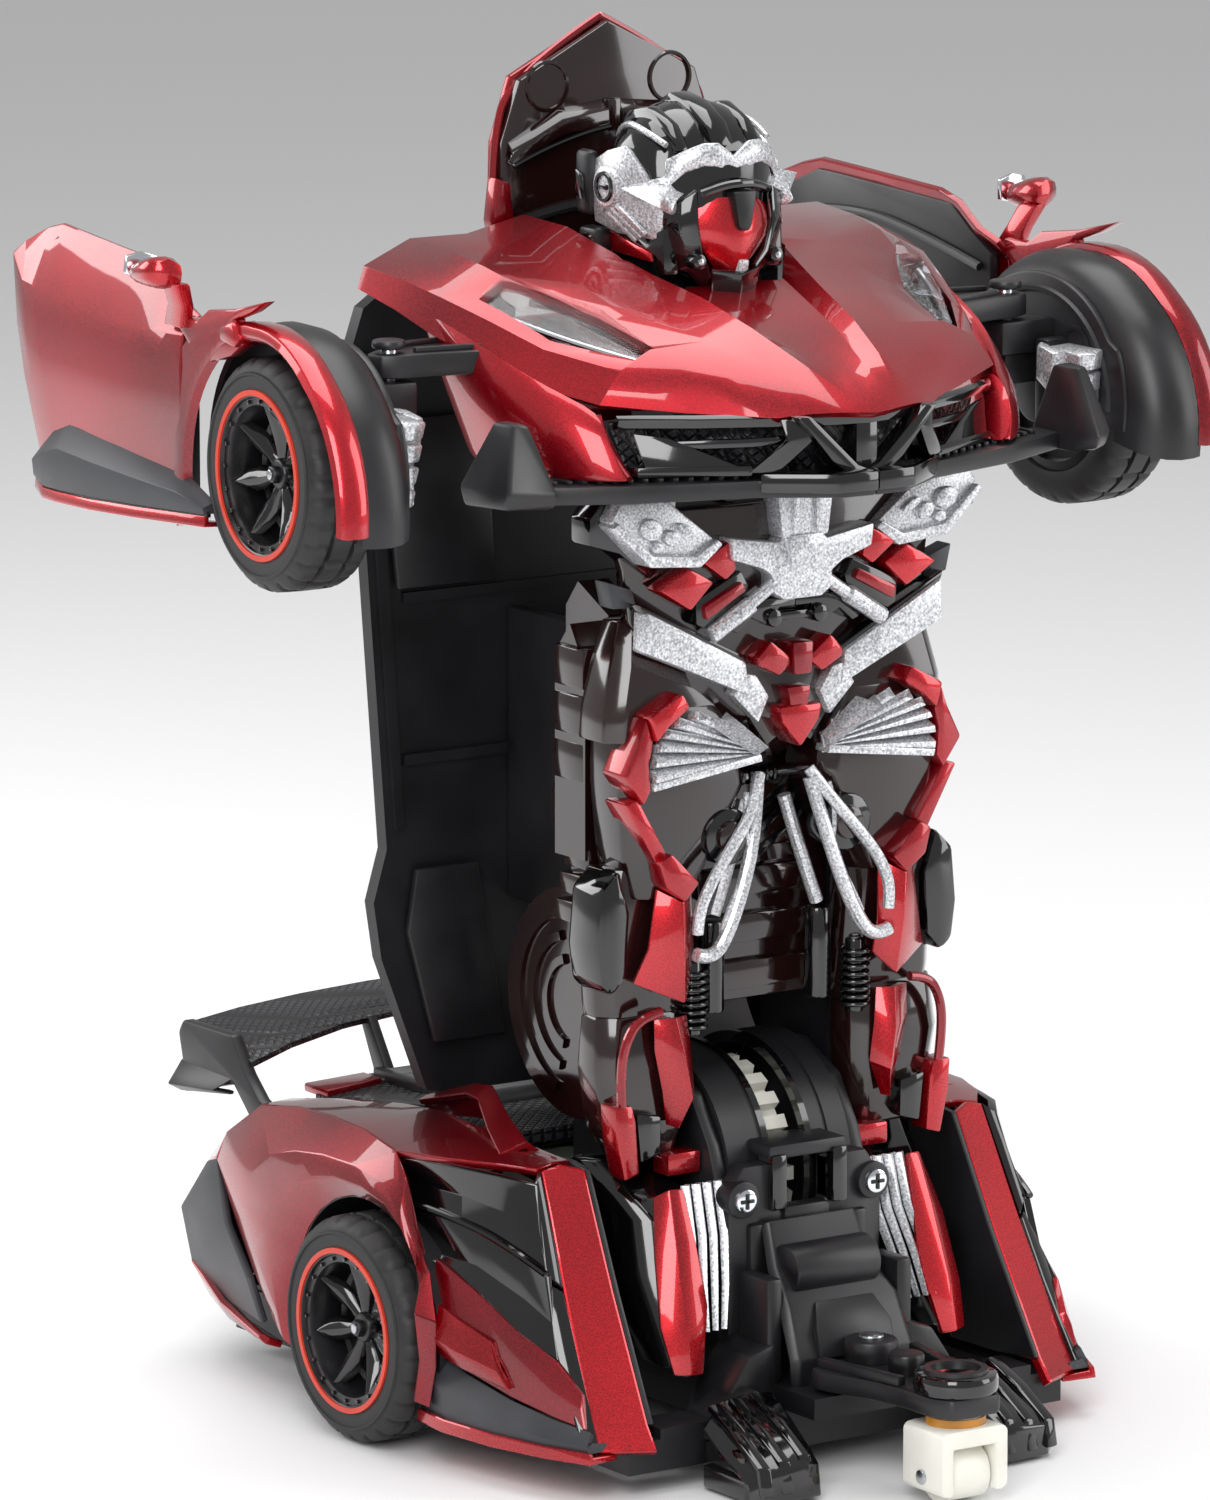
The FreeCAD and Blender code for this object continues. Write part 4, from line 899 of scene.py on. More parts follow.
    block("nose_core", (-2.4, -56.6, 187.2), (2.4, -52.0, 198.4), "pianoBlack", "chest", 0.4)
    # black floor seen through the head hole
    plate("hole_floor", "Z", [(-20, 25), (-20, -12), (20, -12), (20, 25)], 209.6, 211.0, "satinBlack",
          "chest", 0.3)
    for rib in range(5):
        block("hole_rib_%d" % rib, (-17 + 7.4 * rib, -10.4, 210.8), (-15.6 + 7.4 * rib, 22, 213.2),
              "satinBlack", "chest", 0.3)
    block("hole_bridge", (-14, -9.4, 210.9), (14, -6.4, 214.4), "pianoBlack", "chest", 0.5)
    for side in (1, -1):
        skin("hole_wall_%d" % side, [[(side * 13.2, -11.0, 216.0), (side * 18.4, -3.6, 221.0), (side * 17.8,
            12, 224.4), (side * 17.6, 24.6, 225.4)],
                                     [(side * 12.6, -10.4, 211.0), (side * 17.2, -3.0, 211.0),
                                      (side * 16.8, 12, 211.0), (side * 16.8, 24.6, 211.0)]],
             "satinBlack", "chest", wall=1.0)


makeBonnet()
print("chest done")


# arms and wheels; drawn for the robot's left and turned with the arm, which leans in by 4 degrees

armTurn = (Matrix.Translation((0.070, -0.004, 0)) @ Matrix.Rotation(math.radians(4), 4, "Z")
           @ Matrix.Translation((-0.070, 0.004, 0)))
noTurn = Matrix.Identity(4)


def polar(centre, radius, degrees):
    angle = math.radians(degrees)
    return centre[0] + radius * math.cos(angle), centre[1] + radius * math.sin(angle)


def between(table, value):
    # straight-line interpolation in a sorted list of (value, result)
    for (a, first), (b, second) in zip(table, table[1:]):
        if value <= b:
            return first + (second - first) * max(0.0, value - a) / (b - a)
    return table[-1][1]


def makeWheel(end, xOut, hub, turn):
    body = end + "_wheel_left"
    size = {"width": 15.0, "radius": 21.5, "bead": 15.3, "steps": 160, "spokes": 7, "bolts": 20}
    xIn = xOut - size["width"]
    profile = [(xOut - 1.4, 14.9), (xOut - 0.4, 15.2), (xOut - 0.1, 16.2), (xOut, 18.2), (xOut - 0.5, 19.8),
               (xOut - 1.5, 21.0),
               (xOut - 2.6, 21.5), (xOut - 4.6, 21.6), (xOut - 4.8, 20.7), (xOut - 5.5, 20.7),
               (xOut - 5.7, 21.6), (xOut - 7.3, 21.65)]
    mirrored = [(2 * xOut - size["width"] - x, r) for x, r in reversed(profile)]
    profile = profile + mirrored
    made = [ringPiece("%s_tyre_left" % end, "X", hub, profile, "tyre", body, size["steps"], smooth=28)]
    tread = made[0].data
    for vertex in tread.vertices:
        # cross grooves in the outer tread blocks
        y, z = vertex.co.y / mm - hub[0], vertex.co.z / mm - hub[1]
        step = round(math.degrees(math.atan2(z, y)) / 360 * size["steps"])
        x = vertex.co.x / mm
        outer = x > xOut - 4.7 or x < xIn + 4.7
        if math.hypot(y, z) > 20.9 and step % (6 if outer else 8) == (0 if outer else 3):
            vertex.co.y -= y * 0.036 * mm
            vertex.co.z -= z * 0.036 * mm
    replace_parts(made[0], "%s_tyre_left" % end)
    made += [
        ringPiece("%s_side_step_left" % end, "X", hub,
                  [(xOut - 0.2, 19.0), (xOut + 0.25, 18.8), (xOut + 0.25, 18.4), (xOut - 0.2, 18.2)],
                  "tyre", body, 96),
        ringPiece("%s_red_ring_left" % end, "X", hub,
                  [(xOut - 0.6, 14.6), (xOut + 0.2, 14.7), (xOut + 0.2, 15.7), (xOut - 0.6, 15.8)],
                  "ringRed", body, 96),
        ringPiece("%s_rim_left" % end, "X", hub, [
            (xIn + 1, 14.9), (xOut - 1, 15.0), (xOut - 0.1, 14.8), (xOut - 0.3, 14.4), (xOut - 0.9, 14.2),
            (xOut - 1.0, 12.9), (xOut - 1.8, 12.6),
            (xOut - 7.6, 12.0), (xOut - 8.2, 11.2), (xOut - 8.4, 3.0)], "rim", body, 96),
        ringPiece("%s_rim_back_left" % end, "X", hub,
                  [(xIn + 1, 14.9), (xIn + 0.9, 13.2), (xIn + 2.6, 12.8), (xIn + 3.4, 3.6),
                   (xIn + 0.6, 3.4),
                                                       (xIn + 0.6, 2.5)], "rim", body, 96),
        barrel("%s_hub_left" % end, "X", hub, 3.4, xOut - 8.4, xOut - 4.2, "rim", body, 0.5, 36, 2.8),
        barrel("%s_nut_left" % end, "X", hub, 1.9, xOut - 4.4, xOut - 2.9, "rim", body, 0.25, 6, 1.7),
        barrel("%s_screw_left" % end, "X", hub, 1.0, xOut - 3.0, xOut - 2.5, "steel", body, 0.2, 20),
    ]
    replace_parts(made[3], "%s_rim_left" % end)
    rows = []
    for radius, wide, x in [(2.4, 1.5, -4.6), (4.6, 1.7, -4.2), (7.0, 2.3, -3.6), (9.2, 2.3, -2.9),
                            (11.4, 1.5, -2.1), (13.2, 0.9, -1.4)]:
        rows.append([(xOut + x - 1.9, hub[0] - wide, hub[1] + radius),
                     (xOut + x - 0.5, hub[0] - wide * 0.55, hub[1] + radius),
                     (xOut + x, hub[0], hub[1] + radius),
                     (xOut + x - 0.5, hub[0] + wide * 0.55, hub[1] + radius),
                     (xOut + x - 1.9, hub[0] + wide, hub[1] + radius)])
    spoke = skin("%s_spoke" % end, rows, "pianoBlack", body, wall=1.2, bevel=0.2, smooth=40)
    middle = Matrix.Translation((0, hub[0] * mm, hub[1] * mm))
    around = lambda degrees: middle @ Matrix.Rotation(math.radians(degrees), 4, "X") @ middle.inverted()
    spokes = [spoke] + [copyPiece(spoke, "%s_spoke_%d" % (end, i),
                                  around(360 / size["spokes"] * i)) for i in range(1, size["spokes"])]
    made.append(joinPieces(spokes, "%s_spokes_left" % end))
    bolt = barrel("%s_bolt" % end, "X", (hub[0], hub[1] + 13.6), 0.42, xOut - 1.1, xOut - 0.45, "steel",
                  body, 0.12, 10)
    bolt.data.materials[0] = finish["pianoBlack"]
    bolts = [bolt] + [copyPiece(bolt, "%s_bolt_%d" % (end, i),
                                around(360 / size["bolts"] * i)) for i in range(1, size["bolts"])]
    made.append(joinPieces(bolts, "%s_bolts_left" % end))
    for piece in made:
        piece.data.transform(turn)
    mirrorAll(made)


def makeArm():
    body = "arm_left"
    hub = (-3.0, 187.8)
    opening = [(-26, 27.8), (0, 26.4), (45, 24.8), (90, 24.4), (135, 25.8), (160, 28.2), (180, 30.0),
               (197, 31.6)]
    outer = [(-26, 33.8), (0, 31.0), (20, 33.0), (38, 34.6), (52, 31.4), (66, 27.8), (90, 27.2),
             (135, 28.4), (160, 30.8), (180, 32.6), (197, 34.0)]
    made = []
    # door
    tops = [(24, 213.6), (28, 213.8), (33, 217.2), (39, 221.8), (60, 223.2), (75, 224.2), (81, 224.6),
            (97, 219.0)]
    crease = [(24, 210.4), (35, 209.8), (53, 209.6), (68, 211.0), (80, 211.4), (90, 212.4), (97, 218.0)]
    rows = []
    for level, x in [("top", 93.6), ("crease", 97.3), (204, 97.9), (194, 97.7), (184, 96.8), (176, 96.0)]:
        row = []
        for i in range(13):
            u = i / 12
            z = {"top": 219, "crease": 214}.get(level, level)
            rear = 87.0 + (z - 179) * 0.255
            y = rear + (25.0 - rear) * u
            z = between(tops, y) if level == "top" else between(crease, y) if level == "crease" else level
            row.append((x + 0.6 * math.sin(math.pi * u) - (0.9 if u == 0 else 0), y, z))
        rows.append(row)
    door = skin("door_left", rows, "candyRed", body, wall=1.6, bevel=0.35, smooth=22)
    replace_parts(door, "door_left")
    made.append(door)
    inner = [(27, 178), (27, 210.6), (33, 214.6), (39, 219.4), (75, 221.8), (80, 222.0), (93, 216.8),
             (88.6, 198), (84.6, 178)]
    made += [
        plate("door_lining_left", "X", inner, 92.6, 94.8, "satinBlack", body, 0.4),
        plate("door_pocket_left", "X", [(34, 186), (34, 202), (76, 208), (80, 190)], 91.2, 92.8,
              "satinBlack", body, 0.8),
        tubePiece("door_rail_left", [(91.6, 29, 208.0), (91.6, 45, 212.4), (91.4, 70, 216.4),
                                     (91.2, 88, 213.0)], 0.9, "satinBlack", body, 10),
    ]
    # front fender: face, lip and the turned-in edge
    face, edge = [], []
    for degrees in range(-24, 198, 6):
        low, high = between(opening, degrees), between(outer, degrees)
        face.append([(96.2, *polar(hub, low, degrees)), (97.6, *polar(hub, low + 0.9, degrees)),
                     (97.8, *polar(hub, (low + high) / 2, degrees)), (97.4, *polar(hub, high, degrees))])
        if degrees > 60:
            edge.append([(97.4, *polar(hub, high, degrees)), (96.4, *polar(hub, high + 0.7, degrees)),
                         (92.6, *polar(hub, high + 0.5, degrees)),
                         (91.6, *polar(hub, high - 0.2, degrees))])
    made += [
        skin("fender_face_left", face, "candyRed", body, wall=1.2, smooth=40),
        skin("fender_edge_left", edge, "candyRed", body, wall=1.0, smooth=40),
        plate("pillar_spike_left", "X", [(27, 212.0), (25.6, 213.8), (19, 213.6), (14.6, 216.2),
                                         (4.0, 217.6), (-7.7, 220.4), (-2.4, 217.8),
                                         (4.6, 215.6), (4.2, 213.0), (1.2, 211.4), (6, 208.6), (18, 205.6)],
              94.8, 97.5, "candyRed", body, 0.5),
        plate("pillar_hook_left", "X", [(8.4, 214.0), (3.4, 215.4), (1.0, 212.2), (2.6, 210.6),
                                        (8.4, 211.4)], 92.8, 98.6, "candyRed", body, 0.7),
    ]
    # black wheel well
    well = []
    for degrees in range(4, 199, 6):
        high = between(outer, max(degrees, 66))
        well.append([(x, *polar(hub, high + drop, degrees)) for x, drop in [
            (92.4, -0.5), (90.4, 0.0), (87.2, 0.1), (84.2, -0.8), (82.0, -2.6), (80.4, -5.4), (79.6, -8.6),
            (79.4, -11.0)]])
    wall = [polar(hub, 24.0 if degrees < 150 else 25.5, degrees) for degrees in range(4, 196, 6)]
    made.append(skin("wheel_well_left", well, "satinBlack", body, wall=1.2, smooth=50))
    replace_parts(named(made, "wheel_well_left"), "wheel_liner_left")
    made += [
        plate("well_wall_left", "X", wall, 79.0, 80.6, "satinBlack", body, 0.5),
        ringPiece("well_ring_left", "X", hub, [(79.1, 21.6), (78.3, 21.2), (78.3, 20.4), (79.1, 20.0)],
                  "satinBlack", body, 48, arc=176, begin=6),
        ringPiece("well_dimple_a_left", "X", (-14.5, 198.4),
                  [(79.1, 4.2), (78.5, 4.0), (78.5, 3.3), (79.1, 3.1)], "satinBlack", body, 32),
        ringPiece("well_dimple_b_left", "X", (5.5, 199.4),
                  [(79.1, 4.2), (78.5, 4.0), (78.5, 3.3), (79.1, 3.1)], "satinBlack", body, 32),
        barrel("well_boss_left", "X", hub, 5.2, 78.0, 81.2, "satinBlack", body, 0.5, 32),
        barrel("well_shaft_left", "X", hub, 2.1, 81.0, 91.4, "steel", body, 0.2, 24),
        block("arm_bracket_left", (66, -8, 197), (79.4, 0, 203.5), "satinBlack", body, 0.8),
        block("bracket_web_left", (68, -6.5, 191), (79.4, -1.5, 197.4), "satinBlack", body, 0.8),
        barrel("arm_pin_left", "Z", (70, -4), 1.6, 203, 209.4, "steel", body, 0.2, 24),
        barrel("arm_pin_head_left", "Z", (70, -4), 3.1, 209.4, 211.0, "satinBlack", body, 0.5, 28),
    ]
    # fist: four stacked fingers, thumb and cuff
    for i in range(4):
        z = 199.0 - 4.2 * i
        made.append(skin("finger_%d_left" % i, [
            [(79.4, -12.0, z), (73.2, -12.0, z - 0.2), (72.3 + 0.4 * i, -17.0, z - 0.4),
             (72.4 + 0.5 * i, -22.6 + 0.4 * i, z - 0.5),
             (75.4, -24.2 + 0.6 * i, z - 0.4), (79.0, -22.4 + 0.5 * i, z)],
            [(79.4, -12.0, z - 3.9), (73.4, -12.0, z - 3.9), (72.7 + 0.4 * i, -17.0, z - 3.9),
             (72.9 + 0.5 * i, -22.0 + 0.4 * i, z - 3.8),
             (75.6, -23.6 + 0.6 * i, z - 3.7), (79.0, -22.0 + 0.5 * i, z - 3.8)]], "silver", body,
                         wrap=True, caps=True, bevel=0.55))
    made += [
        skin("thumb_left", [[(73.0, -10.6, 199.6), (70.8, -12.4, 199.4), (70.2, -17.6, 198.4), (72.6, -18.6,
            198.4), (73.6, -11.4, 199.6)],
                            [(73.0, -10.6, 193.0), (70.9, -12.0, 192.8), (70.4, -16.4, 190.4),
                             (72.8, -17.2, 190.0), (73.6, -11.4, 192.6)]],
             "silver", body, wrap=True, caps=True, bevel=0.6),
        block("fist_cuff_left", (73.6, -12.2, 183.0), (79.6, -8.4, 200.0), "satinBlack", body, 0.7),
        block("palm_left", (74.0, -21.0, 182.8), (79.6, -11.4, 198.6), "silver", body, 0.6),
    ]
    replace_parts(named(made, "palm_left"), "fist_left")
    # mirror
    made += [
        skin("mirror_left", [
            [(98.0, 19.6, 219.6), (98.2, 19.8, 224.6), (101.6, 20.2, 226.0), (105.6, 20.8, 225.6),
             (106.2, 21.0, 221.2), (102.2, 20.0, 219.0)],
            [(98.4, 25.0, 219.2), (98.6, 25.0, 224.2), (101.8, 25.0, 225.6), (106.0, 25.2, 225.0),
             (106.6, 25.4, 220.8), (102.4, 25.0, 218.6)],
            [(99.6, 31.0, 219.4), (99.8, 31.0, 222.6), (102.0, 31.4, 223.8), (105.0, 31.6, 223.4),
             (105.6, 31.6, 220.4), (102.4, 31.2, 218.8)],
            [(101.2, 33.2, 220.4), (101.2, 33.2, 221.4), (102.4, 33.4, 221.8), (103.8, 33.4, 221.6),
             (104.0, 33.4, 220.8), (102.4, 33.2, 220.2)],
        ], "brightRed", body, wrap=True, caps=True, soften=1, smooth=45),
        skin("mirror_stalk_left", [
            [(96.2, 23.0, 211.6), (98.6, 23.6, 211.6), (98.4, 30.6, 211.6), (96.0, 30.2, 211.6)],
            [(96.6, 21.4, 216.0), (99.2, 21.6, 216.0), (99.2, 27.4, 216.0), (96.6, 27.0, 216.0)],
            [(98.2, 20.0, 220.4), (101.4, 20.2, 220.4), (101.4, 25.6, 220.4), (98.2, 25.2, 220.4)],
        ], "brightRed", body, wrap=True, caps=True, bevel=0.5),
        plate("mirror_glass_left", "Y", [(99.0, 220.2), (99.0, 224.2), (102.0, 225.2), (105.2, 224.6),
                                         (105.6, 221.4), (102.0, 219.6)],
              31.4, 32.6, "chrome", body, 0.2),
    ]
    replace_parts(named(made, "mirror_left"), "mirror_left")
    # side skirt under the door
    stations = [(84.5, 181.2, 176.0, 0.2), (78.0, 186.0, 174.9, 0.6), (70.6, 188.8, 175.2, 0.8),
                (55.0, 187.4, 176.0, 1.0), (38.0, 185.6, 177.0, 0.9),
                (24.0, 184.0, 177.8, 0.6), (14.0, 180.6, 178.4, 0.4)]
    made += [
        skin("skirt_upper_left", [[(96.6, y, top) for y, top, low, out in stations],
                                  [(98.0 + 3.0 * out, y,
                                    top - (top - low) * 0.42) for y, top, low, out in stations],
                                  [(97.6 + 3.4 * out, y, low) for y, top, low, out in stations],
                                  [(95.6, y, low) for y, top, low, out in stations]], "greyBlack", body,
             wall=1.0, bevel=0.3, smooth=25),
        skin("skirt_red_left", [[(97.0 + 4.2 * out, y, low - 0.3) for y, top, low, out in stations],
                                [(97.2 + 4.4 * out, y, low - 2.4) for y, top, low, out in stations],
                                [(95.4, y, low - 2.6) for y, top, low, out in stations]], "brightRed", body,
             wall=1.0, bevel=0.25, smooth=25),
        skin("skirt_groove_left", [[(97.0 + 3.0 * out, y, low + 0.5) for y, top, low, out in stations],
                                   [(97.0 + 3.2 * out, y, low - 0.6) for y, top, low, out in stations]],
             "pianoBlack", body, wall=0.8),
    ]
    for piece in made:
        piece.data.transform(armTurn)
    mirrorAll(made)
    # struts between the chest and the arms
    strut = [
        plate("strut_arm_left", "Z", [(41.0, -12.6), (44.0, -13.8), (48.0, -13.0), (64, -9.0), (70, -8.4),
                                      (73.4, -6.4), (73.6, -2.2), (70, 0.6),
                                      (60, 2.6), (48, 3.4), (43.0, -4.6)], 204.2, 208.6, "satinBlack",
              "strut_left", 0.6),
        plate("strut_rib_left", "Z", [(46.0, -11.4), (66, -7.0), (66, -5.8), (46.0, -10.0)], 208.4, 209.6,
              "satinBlack", "strut_left", 0.3),
        plate("strut_edge_left", "Z", [(47.0, 1.0), (62, 0.8), (68, -1.0), (68, 0.0), (62, 2.0),
                                       (47.0, 2.4)], 208.4, 209.6, "satinBlack", "strut_left", 0.3),
        barrel("strut_pin_left", "Z", (44.8, -9.8), 3.4, 203.6, 209.2, "satinBlack", "strut_left", 0.4, 28),
    ]
    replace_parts(strut[0], "strut_left")
    mirrorAll(strut)


makeWheel("front", 97.0, (-3.0, 187.8), armTurn)
makeWheel("rear", 71.4, (11.4, 21.5), noTurn)
makeArm()
print("arms and wheels done")


# head and windscreen

def makeHead():
    ear = {"centre": (2.4, 234.6), "disc": 3.9, "face": 18.1}
    bolt = (8.7, 221.8)
    rows = []
    for z, wide, front, back in [(219.2, 9.5, -7.0, 8.0), (223, 12.4, -9.4, 9.4), (228, 15.0, -10.6, 11.4),
                                 (234, 16.2, -11.4, 12.4), (240, 16.0, -10.6, 12.6),
                                 (244.6, 13.4, -8.2, 11.4), (248.2, 8.6, -3.6, 9.0),
                                 (250.0, 3.0, 1.0, 5.0)]:
        row = []
        for i in range(16):
            angle = math.radians(22.5 * i)
            reach = front if math.sin(angle) < 0 else back
            row.append((wide * math.copysign(abs(math.cos(angle)) ** 0.8, math.cos(angle)),
                        1 + (reach - 1) * abs(math.sin(angle)) ** 0.8, z))
        rows.append(row)
    dome = skin("helmet_dome", rows, "pianoBlack", "head", wrap=True, caps=True, soften=1, smooth=50)
    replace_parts(dome, "helmet")
    plate("helmet_crest", "X", [(-10.8, 242.2), (-8.0, 246.6), (-2.0, 250.0), (4.0, 251.2), (9.6, 248.4),
                                (13.0, 243.0), (11.0, 241.0), (4, 247), (-6, 243)],
          -2.6, 2.6, "pianoBlack", "head", 0.9)
    made = [
        plate("helmet_rib_left", "X", [(-9.6, 241.8), (-5.6, 246.4), (1.0, 249.2), (7.4, 248.0),
                                       (12.2, 242.4), (10.6, 240.0), (2, 244), (-6, 240)],
              6.6, 9.6, "pianoBlack", "head", 0.8),
        tubePiece("helmet_seam_left", [(11.4, -8.2, 243.0), (12.6, -2.0, 245.6), (11.8, 5.0, 246.2),
                                       (9.0, 11.0, 242.6)], 0.6, "silver", "head", 10),
        skin("ear_plate_left", [
            [(15.8, -1.0, 242.6), (16.4, 4.0, 241.2), (15.6, 9.6, 238.8)],
            [(15.4, -6.4, 238.0), (17.3, 1.2, 236.6), (16.0, 10.0, 233.6)],
            [(13.8, -8.6, 233.6), (16.8, -1.6, 230.4), (16.2, 8.4, 227.4)],
            [(12.0, -10.4, 227.6), (14.0, -8.0, 225.4), (15.2, 2.0, 225.6)],
        ], "silver", "head", wall=1.4, bevel=0.4, smooth=30),
        barrel("ear_disc_left", "X", ear["centre"], ear["disc"], 15.6, ear["face"], "silver", "head", 0.5,
               32),
        ringPiece("ear_groove_left", "X", ear["centre"],
                  [(18.0, 3.0), (18.5, 2.8), (18.5, 2.2), (18.0, 2.0)], "pianoBlack", "head", 32),
        block("ear_bar_left", (17.9, 1.0, 234.1), (18.5, 3.8, 235.1), "pianoBlack", "head", 0.2),
        plate("jaw_left", "X", [(-10.4, 228), (-2.0, 226.6), (9.0, 226.0), (11.0, 222.0), (8.0, 218.6),
                                (-4.0, 216.6), (-10.8, 219.0)], 9.6, 13.6, "pianoBlack", "head", 0.9),
        plate("jaw_red_left", "X", [(9.0, 226.2), (-6.6, 223.2), (-7.4, 221.2), (6.0, 221.8)], 12.6, 14.2,
              "brightRed", "head", 0.5),
        skin("cheek_left", [
            [(8.6, -14.4, 235.0), (11.4, -12.6, 233.0), (13.2, -9.6, 230.4)],
            [(8.8, -15.0, 228.6), (11.6, -13.0, 227.6), (13.0, -8.6, 225.6)],
            [(7.4, -14.6, 222.6), (9.4, -12.6, 220.6), (11.6, -8.0, 218.8)],
            [(3.6, -13.6, 217.4), (5.4, -11.4, 216.4), (7.6, -7.2, 216.2)],
        ], "pianoBlack", "head", wall=1.8, bevel=0.4),
        barrel("jaw_bolt_left", "Y", bolt, 1.5, -15.6, -12.0, "pianoBlack", "head", 0.4, 24),
        barrel("jaw_bolt_core_left", "Y", bolt, 0.7, -16.0, -15.2, "steel", "head", 0.2, 12),
        block("ear_pod_left", (14.2, 5.4, 219.6), (17.8, 11.6, 226.4), "satinBlack", "head", 0.9),
        ringPiece("ear_pod_ring_left", "X", (8.4, 223.0),
                  [(17.7, 2.4), (18.3, 2.2), (18.3, 1.5), (17.7, 1.3)], "pianoBlack", "head", 28),
        block("helmet_back_block_left", (14.6, 8.6, 228.4), (17.2, 13.8, 240.6), "satinBlack", "head", 1.2),
        plate("helmet_slot_left", "X", [(9.6, 231), (12.6, 232), (12.6, 237), (10.4, 236)], 17.0, 17.8,
              "pianoBlack", "head", 0.3),
        tubePiece("neck_hose_left", [(8.4, -1.6, 219.4), (9.8, -3.4, 217.0), (9.6, -4.4, 214.6)], 1.0,
                  "pianoBlack", "head", 12),
    ]
    for i in range(3):
        shift = 1.5 * i
        made.append(skin("ear_fin_%d_left" % i, [
            [(16.9 - 0.2 * i, -0.6 + shift, 232.0 - 0.9 * i),
             (16.7 - 0.2 * i, 0.3 + shift, 231.4 - 0.9 * i)],
            [(14.9, -7.6 + shift, 226.8 - 0.7 * i), (14.8, -6.8 + shift, 226.2 - 0.7 * i)]], "silver",
                         "head", wall=-0.8, bevel=0.15))
    brow = [(0, -14.0, 241.0, 238.0), (3.4, -13.8, 243.6, 238.6), (6.4, -13.0, 243.6, 239.2),
            (9.8, -11.4, 242.2, 238.0), (12.4, -9.0, 240.4, 234.8),
            (12.6, -9.4, 236.4, 231.4), (11.6, -11.2, 232.6, 230.6)]
    full = [(-x, y, top, low) for x, y, top, low in reversed(brow[1:])] + brow
    skin("brow", [[(x, y, top) for x, y, top, low in full],
                  [(x, y - 1.0, (top + low) / 2) for x, y, top, low in full],
                  [(x, y - 0.6, low) for x, y, top, low in full]], "silver", "head", wall=1.6, bevel=0.35,
         smooth=40)
    skin("visor", [[(x, y, z) for x, y in [(-11.8, -9.6), (-9.0, -12.4), (-4.6, -14.4), (0, -15.0), (4.6,
        -14.4), (9.0, -12.4), (11.8, -9.6)]]
                   for z in (239.4, 235.6, 231.0)], "pianoBlack", "head", wall=1.4, soften=1, smooth=50)
    mask = []
    for z, wide, front in [(233.4, 6.6, -15.6), (231.4, 7.9, -16.2), (227.4, 8.2, -16.8),
                           (223.6, 6.8, -16.6), (220.4, 4.0, -15.8), (217.6, 1.4, -14.8)]:
        mask.append([(wide * u, front + 3.2 * abs(u) ** 2, z) for u in (-1, -0.66, -0.33, 0, 0.33, 0.66,
            1)])
    face = skin("mask", mask, "brightRed", "head", wall=1.6, soften=1, smooth=50)
    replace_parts(face, "face_mask")
    plate("mask_notch", "Y", [(-2.6, 234.6), (2.6, 234.6), (1.5, 228.2), (0.9, 227.2), (-0.9, 227.2),
                              (-1.5, 228.2)], -17.8, -14.6, "satinBlack", "head", 0.5)
    tubePiece("mask_rim", [(-7.4, -14.0, 234.2), (-4.0, -15.6, 235.6), (0, -16.2, 235.9),
                           (4.0, -15.6, 235.6), (7.4, -14.0, 234.2)], 0.9, "pianoBlack", "head", 12)
    skin("chin_strip", [[(-0.2, -16.4, 221.6), (2.0, -16.2, 221.4)],
                        [(-1.4, -14.6, 214.8), (2.2, -14.2, 215.0)]], "silver", "head", wall=1.3, bevel=0.3)
    skin("chin", [[(-5.0, -13.4, 220.4), (0, -15.4, 219.6), (5.0, -13.4, 220.4)],
                  [(-4.2, -12.2, 214.6), (0, -13.8, 213.8), (4.2, -12.2, 214.6)],
                  [(-4.0, -6.0, 214.4), (0, -6.0, 214.2), (4.0, -6.0, 214.4)]], "pianoBlack", "head",
         wall=1.6, bevel=0.4)
    mirrorAll(made)


